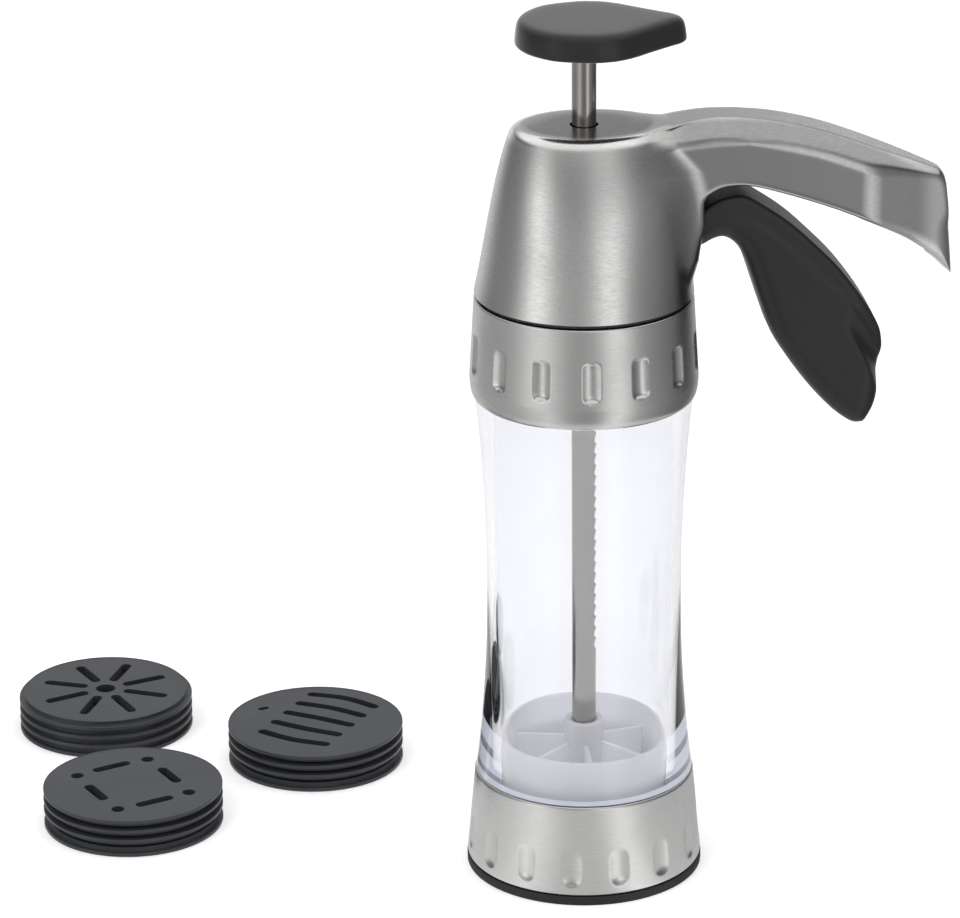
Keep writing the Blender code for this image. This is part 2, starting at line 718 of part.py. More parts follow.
def make_frame(body):
    """The plastic chassis that carries the rod's bushes and the lever's pin."""
    skirt_z = FRAME_PLATE_Z - LOCK_SKIRT_LENGTH
    hole_radius = BUSH_RADIUS + GAP
    bore = lock_ring_bore(skirt_z, FRAME_PLATE_Z, UPPER_LUG_Z)
    frame = turned("head_frame", [
        (hole_radius, FRAME_TOP_Z),
        (HEAD_RADIUS - FLANGE_INSET, FRAME_TOP_Z),
        (HEAD_RADIUS - FLANGE_INSET, FLANGE_Z),
        (LOCK_RING_RADIUS, FLANGE_Z),
        (LOCK_RING_RADIUS, skirt_z),
    ] + bore + [(hole_radius, FRAME_PLATE_Z)], body, steps=RING_STEPS)
    slot_high = UPPER_LUG_Z + LUG_HEIGHT / 2
    cut(frame, entry_slots("head_entry_slots", skirt_z - CUT_OVERRUN, slot_high, body))

    front_x = PIVOT_X + CHEEK_PIVOT_MARGIN
    root_z = FRAME_TOP_Z - FLANGE_THICKNESS
    shoulder_z = PIVOT_Z + CHEEK_TOP_MARGIN
    bridge_top = BRIDGE_Z + BRIDGE_THICKNESS
    outline = [
        (-CHEEK_BACK, root_z), (front_x, root_z), (front_x, shoulder_z),
        (CHEEK_BACK, shoulder_z + CHEEK_NECK_RISE), (CHEEK_BACK, bridge_top),
        (-CHEEK_BACK, bridge_top),
    ]
    middle_y = (CHEEK_INNER_Y + CHEEK_OUTER_Y) / 2
    for side, name in ((-1, "near_cheek"), (1, "far_cheek")):
        cheek = side_plate(
            name, outline, CHEEK_THICKNESS / 2, body, CUTTERS, side * middle_y)
        cut(frame, cheek, "UNION")

    def build_bridge(work):
        reach_y = CHEEK_INNER_Y + CHEEK_THICKNESS / 2
        low = (-CHEEK_BACK + GAP, -reach_y, BRIDGE_Z)
        block(work, low, (CHEEK_BACK - GAP, reach_y, bridge_top - GAP))

    bridge = press_object("bridge", mesh_from("bridge", build_bridge), body, CUTTERS)
    cut(frame, bridge, "UNION")

    def build_hole(work):
        cross_rod(work, PIVOT_X, PIVOT_Z, LEVER_PIN_RADIUS + GAP, CHEEK_OUTER_Y + CUT_OVERRUN)

    hole = press_object("pin_hole", mesh_from("pin_hole", build_hole), body, CUTTERS)
    cut(frame, hole)
    low_z = FRAME_PLATE_Z - CUT_OVERRUN
    seat_z = FRAME_PLATE_Z + SCREW_HEAD_HEIGHT + GAP
    high_z = FRAME_TOP_Z + CUT_OVERRUN
    cut(frame, posts("screw_head_holes", SCREW_HEAD_RADIUS + GAP, low_z, seat_z, body))
    cut(frame, posts("screw_shank_holes", SCREW_RADIUS + GAP, low_z, high_z, body))
    reach = CUT_OVERRUN
    bush_hole = turned("upper_bush_hole", [
        (0.0, bridge_top + reach), (hole_radius, bridge_top + reach),
        (hole_radius, BRIDGE_Z - reach), (0.0, BRIDGE_Z - reach),
    ], body, CUTTERS, SMALL_STEPS, close=False)
    cut(frame, bush_hole)
    dress(frame, BLACK_PLASTIC)


def make_bushes(body):
    """Two flanged rod bushes and the friction ring in the lower one's cup."""
    seat = FRAME_TOP_Z + GAP
    cup_radius = ROD_BORE_RADIUS + RING_WIDTH + GAP
    flange_top = seat + BUSH_FLANGE_THICKNESS
    cup_top = flange_top + RING_HEIGHT + GAP
    cup_outer = cup_radius + RING_CUP_WALL
    lower = turned("lower_rod_bush", [
        (cup_radius, cup_top), (cup_outer, cup_top), (cup_outer, seat), (BUSH_RADIUS, seat),
        (BUSH_RADIUS, FRAME_PLATE_Z + GAP), (ROD_BORE_RADIUS, FRAME_PLATE_Z + GAP),
        (ROD_BORE_RADIUS, flange_top), (cup_radius, flange_top),
    ], body, steps=SMALL_STEPS)
    dress(lower, WHITE_PLASTIC)

    ring_z = flange_top + GAP
    ring = turned("friction_ring", [
        (ROD_BORE_RADIUS, ring_z + RING_HEIGHT),
        (ROD_BORE_RADIUS + RING_WIDTH, ring_z + RING_HEIGHT),
        (ROD_BORE_RADIUS + RING_WIDTH, ring_z), (ROD_BORE_RADIUS, ring_z),
    ], body, steps=SMALL_STEPS)
    dress(ring, RUBBER)

    seat = BRIDGE_Z + BRIDGE_THICKNESS + GAP
    upper = turned("upper_rod_bush", [
        (ROD_BORE_RADIUS, seat + BUSH_FLANGE_THICKNESS),
        (BUSH_FLANGE_RADIUS, seat + BUSH_FLANGE_THICKNESS),
        (BUSH_FLANGE_RADIUS, seat), (BUSH_RADIUS, seat),
        (BUSH_RADIUS, BRIDGE_Z), (ROD_BORE_RADIUS, BRIDGE_Z),
    ], body, steps=SMALL_STEPS)
    dress(upper, WHITE_PLASTIC)


def head_rings(inset, low_z, high_z):
    """The head's oval sections, drawn in by a wall, between two heights."""
    rings = []
    for height, left, right, depth in HEAD_SECTION_SHARES:
        z = min(SHELL_Z + HEAD_HEIGHT * height, high_z) if height else low_z
        ring = []
        for step in range(HEAD_LOOP_STEPS):
            angle = math.tau * step / HEAD_LOOP_STEPS
            reach = HEAD_RADIUS * (right if math.cos(angle) > 0 else left) - inset
            half_depth = HEAD_RADIUS * depth - inset
            ring.append((reach * math.cos(angle), half_depth * math.sin(angle), z))
        rings.append(ring)
    return rings


def arm_sections(inset, top_inset, tip_inset, low_reach):
    """The arm's six-sided sections, each in the plane of its top and lower points."""
    half_width = ARM_HALF_WIDTH - inset
    facet = ARM_FACET_HALF_WIDTH
    rings = []
    ends = [
        (Vector((ARM_REACH * top_x, SHELL_Z + ARM_RISE * top_z)),
         Vector((ARM_REACH * low_x, SHELL_Z + ARM_RISE * low_z)))
        for top_x, top_z, low_x, low_z in ARM_SECTION_SHARES
    ]
    for index, (top, low) in enumerate(ends):
        down = (low - top).normalized()
        if index == len(ends) - 1:
            back = (ends[index - 1][1] - low).normalized() * tip_inset
            top = top + back
            low = low + back
        top = top + down * top_inset
        shoulder = top + down * ARM_SHOULDER_DROP
        low = low + down * low_reach
        ring = []
        for y, point in (
            (-half_width, low), (-half_width, shoulder), (-facet, top),
            (facet, top), (half_width, shoulder), (half_width, low),
        ):
            ring.append((point.x, y, point.y))
        rings.append(ring)
    return rings


def make_shell(body):
    """The steel head: an oval cone and a hollow arm, open below for the lever."""
    outer = head_rings(0.0, SHELL_Z, HEAD_TOP_Z)
    inner = head_rings(HEAD_WALL, SHELL_Z - CUT_OVERRUN, HEAD_TOP_Z - HEAD_WALL)
    arm_outer = arm_sections(0.0, 0.0, 0.0, 0.0)
    arm_inner = arm_sections(ARM_WALL, ARM_WALL, ARM_WALL, CUT_OVERRUN)
    shell = press_object(
        "head_shell", mesh_from("head_shell", lambda work: loft(work, outer)), body, PARTS)

    def helper(name, build):
        return press_object(name, mesh_from(name, build), body, CUTTERS)

    cut(shell, helper("arm_form", lambda work: loft(work, arm_outer)), "UNION")
    cut(shell, helper("head_hollow", lambda work: loft(work, inner)))
    cut(shell, helper("arm_hollow", lambda work: loft(work, arm_inner)))

    def build_window(work):
        high_x = HEAD_RADIUS + WINDOW_DEPTH
        low = (PIVOT_X + CHEEK_PIVOT_MARGIN + GAP, -CHEEK_INNER_Y, PIVOT_Z - WINDOW_DROP)
        block(work, low, (high_x, CHEEK_INNER_Y, PIVOT_Z + WINDOW_RISE))

    cut(shell, helper("lever_window", build_window))

    def build_ribs(work):
        for angle in SCREW_ANGLES:
            turn = Matrix.Rotation(angle, 4, "Z")
            low = (SCREW_CIRCLE_RADIUS, -SCREW_RIB_WIDTH / 2, SHELL_Z + GAP)
            reach = HEAD_RADIUS * HEAD_SECTION_SHARES[1][3]
            high = (reach, SCREW_RIB_WIDTH / 2, SHELL_Z + SCREW_BOSS_HEIGHT - GAP)
            block(work, low, high, turn)

    boss_top = SHELL_Z + SCREW_BOSS_HEIGHT
    ribs = helper("screw_ribs", build_ribs)
    cut(ribs, posts("screw_posts", SCREW_BOSS_RADIUS, SHELL_Z, boss_top, body), "UNION")
    cut(shell, ribs, "UNION")
    bite_top = SHELL_Z + SCREW_BITE + GAP
    cut(shell, posts("screw_bores", SCREW_RADIUS + GAP, SHELL_Z - CUT_OVERRUN, bite_top, body))
    hole_radius = ROD_BORE_RADIUS + ROD_HOLE_PLAY
    rod_hole = turned("rod_hole", [
        (0.0, HEAD_TOP_Z + CUT_OVERRUN), (hole_radius, HEAD_TOP_Z + CUT_OVERRUN),
        (hole_radius, HEAD_TOP_Z - HEAD_WALL - CUT_OVERRUN),
        (0.0, HEAD_TOP_Z - HEAD_WALL - CUT_OVERRUN),
    ], body, CUTTERS, SMALL_STEPS, close=False)
    cut(shell, rod_hole)
    dress(shell, STEEL)


def pan_screw(name, head_radius, head_height, radius, length, place, carrier):
    """A screw with its head at the bottom and its shank up."""
    profile = [
        (0.0, head_height + length), (radius, head_height + length), (radius, head_height),
        (head_radius, head_height), (head_radius, 0.0), (0.0, 0.0),
    ]
    screw = turned(name, profile, carrier, steps=TINY_STEPS, close=False)
    screw.location += Vector(place)
    return dress(screw, BRIGHT_STEEL)


def make_head_hardware(body):
    """The three head screws, the lever's pin and its return spring."""
    low_z = FRAME_PLATE_Z + GAP / 2
    length = SHELL_Z + SCREW_BITE - low_z - SCREW_HEAD_HEIGHT
    for number, angle in enumerate(SCREW_ANGLES, 1):
        place = (
            SCREW_CIRCLE_RADIUS * math.cos(angle), SCREW_CIRCLE_RADIUS * math.sin(angle), low_z)
        pan_screw(
            f"head_screw_{number}", SCREW_HEAD_RADIUS, SCREW_HEAD_HEIGHT, SCREW_RADIUS,
            length, place, body)

    def build_pin(work):
        cross_rod(work, PIVOT_X, PIVOT_Z, LEVER_PIN_RADIUS, CHEEK_OUTER_Y)

    pin = press_object("lever_pin", mesh_from("lever_pin", build_pin), body, PARTS)
    dress(pin, BRIGHT_STEEL)

    low_z = FRAME_TOP_Z + GAP + SPRING_WIRE_RADIUS
    arm_z = PIVOT_Z + (PIVOT_X - SPRING_X) * math.tan(INNER_ARM_TILT)
    under_arm = arm_z - INNER_ARM_HALF_HEIGHT / math.cos(INNER_ARM_TILT)
    high_z = under_arm - GAP - SPRING_WIRE_RADIUS - SPRING_RADIUS * math.tan(INNER_ARM_TILT)
    curve = bpy.data.curves.new("return_spring", "CURVE")
    curve.dimensions = "3D"
    curve.bevel_depth = SPRING_WIRE_RADIUS
    curve.bevel_resolution = 1
    curve.use_fill_caps = True
    steps = SPRING_TURNS * SPRING_TURN_POINTS
    spline = curve.splines.new("POLY")
    spline.points.add(steps)
    for step, point in enumerate(spline.points):
        angle = math.tau * step / SPRING_TURN_POINTS
        z = low_z + (high_z - low_z) * step / steps
        point.co = (
            SPRING_X + SPRING_RADIUS * math.cos(angle), SPRING_RADIUS * math.sin(angle), z, 1.0)
    curve.materials.append(BRIGHT_STEEL)
    spring = bpy.data.objects.new("return_spring", curve)
    PARTS.objects.link(spring)
    spring.parent = body
    spring.location = -place_of(body)


def lever_point(share):
    return (PIVOT_X + LEVER_REACH * share[0], PIVOT_Z + LEVER_DROP * share[1])


def make_lever(body):
    """The stiff core with its forked inner arm, the soft grip over it and the pawl's pin."""
    path = [lever_point(share) for share in CORE_PATH_SHARES]
    core = side_plate(
        "lever_core", ribbon(path, CORE_HALF_HEIGHT), CORE_HALF_WIDTH, body, PARTS)

    def build_hub(work):
        cross_rod(work, PIVOT_X, PIVOT_Z, LEVER_BOSS_RADIUS, CHEEK_INNER_Y - GAP)

    def build_tip(work):
        cross_rod(work, PAWL_PIN_X, PAWL_PIN_Z, INNER_ARM_HALF_HEIGHT, INNER_ARM_HALF_WIDTH)

    arm_path = [(PIVOT_X, PIVOT_Z), (PAWL_PIN_X, PAWL_PIN_Z)]
    arm = side_plate(
        "inner_arm", ribbon(arm_path, INNER_ARM_HALF_HEIGHT - GAP), INNER_ARM_HALF_WIDTH - GAP,
        body, CUTTERS)
    for name, build in (("lever_hub", build_hub), ("arm_tip", build_tip)):
        cut(core, press_object(name, mesh_from(name, build), body, CUTTERS), "UNION")
    cut(core, arm, "UNION")

    def build_fork(work):
        half_y = PAWL_HALF_WIDTH + PAWL_SIDE_PLAY
        reach = INNER_ARM_HALF_HEIGHT + CUT_OVERRUN
        low = (PAWL_PIN_X - reach, -half_y, PAWL_PIN_Z - 2 * reach)
        block(work, low, (FORK_END_X, half_y, PAWL_PIN_Z + reach))

    def build_holes(work):
        reach_y = CHEEK_INNER_Y + CUT_OVERRUN
        cross_rod(work, PIVOT_X, PIVOT_Z, LEVER_PIN_RADIUS + GAP, reach_y)
        cross_rod(work, PAWL_PIN_X, PAWL_PIN_Z, PAWL_PIN_RADIUS + GAP, reach_y, TINY_STEPS)

    for name, build in (("fork_slot", build_fork), ("core_holes", build_holes)):
        cut(core, press_object(name, mesh_from(name, build), body, CUTTERS))
    dress(core, BLACK_PLASTIC)

    outline = [lever_point(share) for share in LEVER_OUTLINE_SHARES]
    grip = side_plate("lever_grip", outline, LEVER_HALF_WIDTH, body, PARTS)
    edge = grip.modifiers.new("Round edges", "BEVEL")
    edge.width = LEVER_EDGE
    edge.segments = 2
    edge.limit_method = "ANGLE"
    edge.angle_limit = math.radians(60)
    core_end = Vector(path[-1])
    beyond = (core_end - Vector(path[-2])).normalized() * GAP
    pocket_path = path[:-1] + [tuple(core_end + beyond)]
    pocket = side_plate(
        "core_pocket", ribbon(pocket_path, CORE_HALF_HEIGHT + GAP), CORE_HALF_WIDTH + GAP,
        body, CUTTERS)
    cut(grip, pocket)
    dress(grip, SOFT_BLACK)

    def build_pin(work):
        cross_rod(
            work, PAWL_PIN_X, PAWL_PIN_Z, PAWL_PIN_RADIUS, INNER_ARM_HALF_WIDTH, TINY_STEPS)

    pin = press_object("pawl_pin", mesh_from("pawl_pin", build_pin), body, PARTS)
    dress(pin, BRIGHT_STEEL)


def make_pawl(body):
    """The pawl that pushes the rod's teeth down, parked just clear of the rod."""
    tip_x = ROD_RADIUS + PAWL_REST_GAP
    tip_z = PAWL_PIN_Z - PAWL_TIP_DROP
    nose = [
        (PAWL_PIN_X, PAWL_PIN_Z + PAWL_BOSS_RADIUS - GAP),
        (tip_x + PAWL_NOSE_LIFT, PAWL_PIN_Z),
        (tip_x, tip_z + PAWL_TIP_HEIGHT),
        (tip_x, tip_z),
        (PAWL_PIN_X, PAWL_PIN_Z - PAWL_BOSS_RADIUS + GAP),
    ]
    pawl = side_plate("drive_pawl", nose, PAWL_HALF_WIDTH, body, PARTS)

    def build_boss(work):
        cross_rod(work, PAWL_PIN_X, PAWL_PIN_Z, PAWL_BOSS_RADIUS, PAWL_HALF_WIDTH - GAP / 2)

    def build_hole(work):
        radius = PAWL_PIN_RADIUS + GAP
        cross_rod(
            work, PAWL_PIN_X, PAWL_PIN_Z, radius, PAWL_HALF_WIDTH + CUT_OVERRUN, TINY_STEPS)

    boss = press_object("pawl_boss", mesh_from("pawl_boss", build_boss), body, CUTTERS)
    cut(pawl, boss, "UNION")
    hole = press_object("pawl_hole", mesh_from("pawl_hole", build_hole), body, CUTTERS)
    cut(pawl, hole)
    dress(pawl, BRIGHT_STEEL)


def make_piston(body):
    """The translucent cup with a hub and gussets, and the screw that holds the rod."""
    floor_z = PISTON_Z + PISTON_FLOOR
    hub_top = PISTON_Z + PISTON_HUB_HEIGHT
    rim_z = PISTON_Z + PISTON_HEIGHT
    recess = PISTON_SCREW_HEAD_HEIGHT + 2 * GAP
    recess_radius = PISTON_SCREW_HEAD_RADIUS + GAP
    inner_radius = PISTON_RADIUS - PISTON_WALL
    piston = turned("piston", [
        (inner_radius, rim_z), (PISTON_RADIUS, rim_z), (PISTON_RADIUS, PISTON_Z),
        (recess_radius, PISTON_Z), (recess_radius, PISTON_Z + recess),
        (ROD_BORE_RADIUS, PISTON_Z + recess), (ROD_BORE_RADIUS, hub_top),
        (PISTON_HUB_RADIUS, hub_top), (PISTON_HUB_RADIUS, floor_z), (inner_radius, floor_z),
    ], body, steps=RING_STEPS)

    low_x = PISTON_HUB_RADIUS - PISTON_HUB_WALL / 2
    high_x = inner_radius + PISTON_WALL / 2
    low_z = floor_z - GAP
    outline = [
        (low_x, low_z), (high_x, low_z), (high_x, rim_z - GUSSET_RIM_DROP),
        (inner_radius - PISTON_WALL, rim_z - GUSSET_RIM_DROP), (low_x, hub_top - GUSSET_RIM_DROP),
    ]
    for index in range(GUSSET_COUNT):
        name = f"gusset_{index + 1}"
        turn = Matrix.Rotation(math.tau * (index + 0.5) / GUSSET_COUNT, 4, "Z") @ UPRIGHT
        mesh = plate_mesh(name, [outline], GUSSET_THICKNESS / 2, turn)
        cut(piston, press_object(name, mesh, body, CUTTERS), "UNION")
    dress(piston, MILKY_PLASTIC)


def make_rod(body):
    """The ratchet rod with its piston screw, and the knob on its top."""
    low_z = PISTON_Z + PISTON_SCREW_HEAD_HEIGHT + 2 * GAP
    high_z = KNOB_Z + KNOB_CORE_HEIGHT - GAP
    hole_radius = PISTON_SCREW_RADIUS + GAP
    rod = turned("rod", [
        (0.0, high_z), (ROD_RADIUS, high_z), (ROD_RADIUS, low_z), (hole_radius, low_z),
        (hole_radius, low_z + ROD_SCREW_HOLE_DEPTH), (0.0, low_z + ROD_SCREW_HOLE_DEPTH),
    ], body, steps=SMALL_STEPS, close=False)
    top_tooth = PAWL_PIN_Z - PAWL_TIP_DROP
    teeth = [(ROD_RADIUS + CUT_OVERRUN, top_tooth)]
    for index in range(TOOTH_COUNT):
        ledge_z = top_tooth - TOOTH_PITCH * (index + 1)
        teeth += [
            (ROD_RADIUS, ledge_z + TOOTH_PITCH),
            (ROD_RADIUS - TOOTH_DEPTH, ledge_z + TOOTH_PITCH * TOOTH_FLAT_SHARE),
            (ROD_RADIUS - TOOTH_DEPTH, ledge_z),
            (ROD_RADIUS, ledge_z),
        ]
    teeth.append((ROD_RADIUS + CUT_OVERRUN, teeth[-1][1]))
    cut(rod, side_plate("rod_teeth", teeth, ROD_RADIUS + CUT_OVERRUN, body, CUTTERS))
    dress(rod, BRIGHT_STEEL)

    pan_screw(
        "piston_screw", PISTON_SCREW_HEAD_RADIUS, PISTON_SCREW_HEAD_HEIGHT,
        PISTON_SCREW_RADIUS, ROD_SCREW_HOLE_DEPTH - GAP, (0.0, 0.0, PISTON_Z + GAP), body)

    core = turned("knob_core", [
        (ROD_BORE_RADIUS, KNOB_Z + KNOB_CORE_HEIGHT), (KNOB_CORE_RADIUS, KNOB_Z + KNOB_CORE_HEIGHT),
        (KNOB_CORE_RADIUS, KNOB_Z), (ROD_BORE_RADIUS, KNOB_Z),
    ], body, steps=SMALL_STEPS)
    dress(core, BLACK_PLASTIC)

    outline = []
    for along, depth in KNOB_OUTLINE_SHARES:
        reach = KNOB_LONG_REACH if along > 0 else KNOB_SHORT_REACH
        outline.append((reach * along, KNOB_HALF_DEPTH * depth))
    loop = half_loop(outline, KNOB_LOOP_STEPS)
    rings = [
        [(point.x * scale, point.y * scale, KNOB_Z + KNOB_HEIGHT * height) for point in loop]
        for height, scale in KNOB_LAYER_SHARES
    ]
    knob = press_object("knob", mesh_from("knob", lambda work: loft(work, rings)), body, PARTS)
    pocket_top = KNOB_Z + KNOB_CORE_HEIGHT + GAP
    pocket = turned("knob_pocket", [
        (0.0, pocket_top), (KNOB_CORE_RADIUS + GAP, pocket_top),
        (KNOB_CORE_RADIUS + GAP, KNOB_Z - CUT_OVERRUN), (0.0, KNOB_Z - CUT_OVERRUN),
    ], body, CUTTERS, SMALL_STEPS, close=False)
    cut(knob, pocket)
    dress(knob, SOFT_BLACK)


def spot(radius, angle):
    return (radius * math.cos(angle), radius * math.sin(angle))


def dot(centre, radius, steps=DOT_STEPS):
    """The outline of a round hole."""
    return [
        (centre[0] + radius * math.cos(math.tau * step / steps),
         centre[1] + radius * math.sin(math.tau * step / steps))
        for step in range(steps)
    ]


def spokes(count, inner_share, outer_share, start=0.0):
    """Slots that run out from the middle."""
    outlines = []
    for index in range(count):
        angle = start + math.tau * index / count
        ends = (spot(DIE_RADIUS * inner_share, angle), spot(DIE_RADIUS * outer_share, angle))
        outlines.append(stadium(*ends, DIE_SLOT_WIDTH))
    return outlines


def dot_ring(count, radius_share, start=0.0):
    """Round holes in a ring."""
    return [
        dot(spot(DIE_RADIUS * radius_share, start + math.tau * index / count), DIE_DOT_RADIUS)
        for index in range(count)
    ]


def tangent_slots(count, radius_share, half_length_share, start=0.0):
    """Slots set square to the radius."""
    outlines = []
    for index in range(count):
        angle = start + math.tau * index / count
        middle = Vector(spot(DIE_RADIUS * radius_share, angle))
        along = Vector((-math.sin(angle), math.cos(angle))) * DIE_RADIUS * half_length_share
        outlines.append(stadium(middle - along, middle + along, DIE_SLOT_WIDTH))
    return outlines


def parallel_slots(offset_shares, half_length_share, heading=0.0):
    """Straight slots side by side."""
    along = Vector((math.cos(heading), math.sin(heading)))
    across = Vector((-along.y, along.x))
    outlines = []
    for offset in offset_shares:
        middle = across * DIE_RADIUS * offset
        reach = along * DIE_RADIUS * half_length_share
        outlines.append(stadium(middle - reach, middle + reach, DIE_SLOT_WIDTH))
    return outlines


def hub_hole():
    return [dot((0.0, 0.0), DIE_HUB_HOLE_RADIUS)]


def front_patterns():
    """Cut-outs of the front stack, from the bottom up."""
    yield spokes(5, inner_share=0.15, outer_share=0.60)
    yield dot_ring(6, radius_share=0.55) + hub_hole()
    yield tangent_slots(3, radius_share=0.40, half_length_share=0.30)
    yield (
        tangent_slots(4, radius_share=0.54, half_length_share=0.17, start=CORNER_TURN)
        + dot_ring(4, radius_share=0.68, start=CORNER_TURN + math.pi / 4)
    )


def side_patterns():
    """Cut-outs of the side stack, from the bottom up."""
    yield spokes(6, inner_share=0.20, outer_share=0.65)
    yield parallel_slots(THREE_SLOT_SHARES, half_length_share=0.45)
    yield dot_ring(8, radius_share=0.60)
    yield parallel_slots(FIVE_SLOT_SHARES, half_length_share=0.40, heading=COMB_TURN)


def back_patterns():
    """Cut-outs of the back stack, from the bottom up."""
    yield tangent_slots(6, radius_share=0.55, half_length_share=0.18)
    yield spokes(4, inner_share=0.25, outer_share=0.62) + hub_hole()
    yield parallel_slots(ONE_SLOT_SHARES, half_length_share=0.60)
    yield spokes(8, inner_share=0.28, outer_share=0.70) + hub_hole()


DIE_STACKS = (
    # stack name, place, whether each die's boss is up from the bottom one, and cut-outs
    ("front", FRONT_STACK_PLACE, (True, False, False, False), front_patterns),
    ("side", SIDE_STACK_PLACE, (True, False, False, False), side_patterns),
    ("back", BACK_STACK_PLACE, (True, True, True, True), back_patterns),
)


def make_dies():
    """Three stacks of loose dies, each die standing on the one below."""
    boss_radius = DIE_RADIUS - DIE_BOSS_STEP
    for stack, place, bosses_up, patterns in DIE_STACKS:
        below = axis_empty(f"{stack}_stack_axis", PRESS, *place)
        for number, (boss_up, pattern) in enumerate(zip(bosses_up, patterns()), 1):
            if boss_up:
                step_z = DIE_FLANGE_THICKNESS
                low_radius, high_radius = DIE_RADIUS, boss_radius
            else:
                step_z = DIE_THICKNESS - DIE_FLANGE_THICKNESS
                low_radius, high_radius = boss_radius, DIE_RADIUS
            name = f"die_{stack}_{number}"
            profile = [
                (0.0, DIE_THICKNESS), (high_radius, DIE_THICKNESS), (high_radius, step_z),
                (low_radius, step_z), (low_radius, 0.0), (0.0, 0.0),
            ]
            die = turned(name, profile, below, steps=DIE_STEPS, close=False)
            lift = 0.0 if number == 1 else DIE_THICKNESS + GAP
            die.location = (0.0, 0.0, lift)
            middle = Matrix.Translation((0.0, 0.0, DIE_THICKNESS / 2))
            mesh = plate_mesh(
                f"{name}_pattern", pattern, DIE_THICKNESS / 2 + CUT_OVERRUN, middle)
            tool = bpy.data.objects.new(f"{name}_pattern", mesh)
            CUTTERS.objects.link(tool)
            tool.parent = die
            tool.hide_render = True
            tool.display_type = "WIRE"
            cut(die, tool)
            dress(die, DIE_PLASTIC)
            below = die


for leftover in list(bpy.data.objects):
    bpy.data.objects.remove(leftover)

PARTS = collection("cookie_press")
CUTTERS = collection("cutters", hidden=True)

STEEL = finish("brushed steel", (0.60, 0.60, 0.59), 0.32, metallic=1.0)
BRIGHT_STEEL = finish("bright steel", (0.66, 0.65, 0.63), 0.22, metallic=1.0)
CLEAR_PLASTIC = finish("clear plastic", (0.94, 0.95, 0.97), 0.05, transmission=1.0)
MILKY_PLASTIC = finish("milky plastic", (0.84, 0.84, 0.85), 0.30, transmission=0.4)
WHITE_PLASTIC = finish("white plastic", (0.82, 0.82, 0.80), 0.45)
BLACK_PLASTIC = finish("black plastic", (0.03, 0.03, 0.03), 0.45)
SOFT_BLACK = finish("soft black grip", (0.035, 0.035, 0.037), 0.65)
DIE_PLASTIC = finish("dark grey plastic", (0.07, 0.07, 0.075), 0.5)
RUBBER = finish("black rubber", (0.02, 0.02, 0.02), 0.8)

PRESS = bpy.data.objects.new("press_axis", None)
PARTS.objects.link(PRESS)
PRESS.location = PRESS_PLACE

BARREL_AXIS = axis_empty("barrel_axis", PRESS, z=BASE_TOP_Z)
HEAD_AXIS = axis_empty("head_axis", BARREL_AXIS, z=UPPER_TOP_Z)
LEVER_AXIS = axis_empty("lever_axis", HEAD_AXIS, x=PIVOT_X, z=PIVOT_Z)
PAWL_AXIS = axis_empty("pawl_axis", LEVER_AXIS, x=PAWL_PIN_X, z=PAWL_PIN_Z)
PISTON_AXIS = axis_empty("piston_axis", HEAD_AXIS, z=PISTON_Z)
ROD_AXIS = axis_empty("rod_axis", PISTON_AXIS, z=KNOB_Z)

make_base(PRESS)
make_barrel(BARREL_AXIS)
make_frame(HEAD_AXIS)
make_bushes(HEAD_AXIS)
make_shell(HEAD_AXIS)
make_head_hardware(HEAD_AXIS)
make_lever(LEVER_AXIS)
make_pawl(PAWL_AXIS)
make_piston(PISTON_AXIS)
make_rod(ROD_AXIS)
make_dies()
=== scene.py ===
# %% [markdown]
# # A lever-action cookie press with its dies, dressed for its picture
#
# The press has a clear barrel between two steel collars, a steel head with an
# arm, a black lever under the arm, and a notched rod with a knob on top. Twelve
# loose dies stand beside it in three stacks.
#
# The working model holds every size and joint already. This lesson only gives
# the pieces their finish, and builds a finer skin where the working model is
# coarse. Each new skin stays in the place of the piece that it stands for.

# %% Load the working model
import math

import bmesh
import bpy
import numpy as np
from mathutils import Matrix, Vector


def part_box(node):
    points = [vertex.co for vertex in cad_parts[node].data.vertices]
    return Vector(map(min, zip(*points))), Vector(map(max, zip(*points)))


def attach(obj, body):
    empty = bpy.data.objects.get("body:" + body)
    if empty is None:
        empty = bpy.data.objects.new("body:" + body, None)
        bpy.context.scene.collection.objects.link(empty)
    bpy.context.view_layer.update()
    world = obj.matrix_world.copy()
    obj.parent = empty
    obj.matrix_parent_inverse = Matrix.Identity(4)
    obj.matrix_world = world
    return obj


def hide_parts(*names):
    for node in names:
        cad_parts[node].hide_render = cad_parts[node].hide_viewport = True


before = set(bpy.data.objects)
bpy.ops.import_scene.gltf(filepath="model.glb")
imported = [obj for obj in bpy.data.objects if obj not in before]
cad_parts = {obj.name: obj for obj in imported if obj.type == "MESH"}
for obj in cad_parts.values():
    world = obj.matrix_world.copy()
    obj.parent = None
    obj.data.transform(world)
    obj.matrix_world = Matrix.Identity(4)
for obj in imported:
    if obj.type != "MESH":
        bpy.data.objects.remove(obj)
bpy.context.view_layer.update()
MM = 0.001
print("pieces in the working model:", len(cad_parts))

# %% [markdown]
# ## One axis to measure from
#
# The barrel, the collars, the rod and the head are all centred on one upright
# axis. The steps below measure from it, so a length in them reads like a
# length on the press.

# %% Find the press's axis
barrel_low, barrel_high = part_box("barrel")
AXIS_X = (barrel_low.x + barrel_high.x) / 2
AXIS_Y = (barrel_low.y + barrel_high.y) / 2


def from_axis(x, y, z):
    """A point measured from the press's axis on the floor."""
    return Vector((AXIS_X + x, AXIS_Y + y, z))


def placed(name, data, location=(0, 0, 0)):
    """A new object in the scene."""
    piece = bpy.data.objects.new(name, data)
    bpy.context.scene.collection.objects.link(piece)
    piece.location = location
    return piece


def aimed(piece, height):
    """Turn a camera or a lamp to a height on the press's axis."""
    piece.rotation_euler = (from_axis(0, 0, height) - piece.location).to_track_quat("-Z", "Y").to_euler()


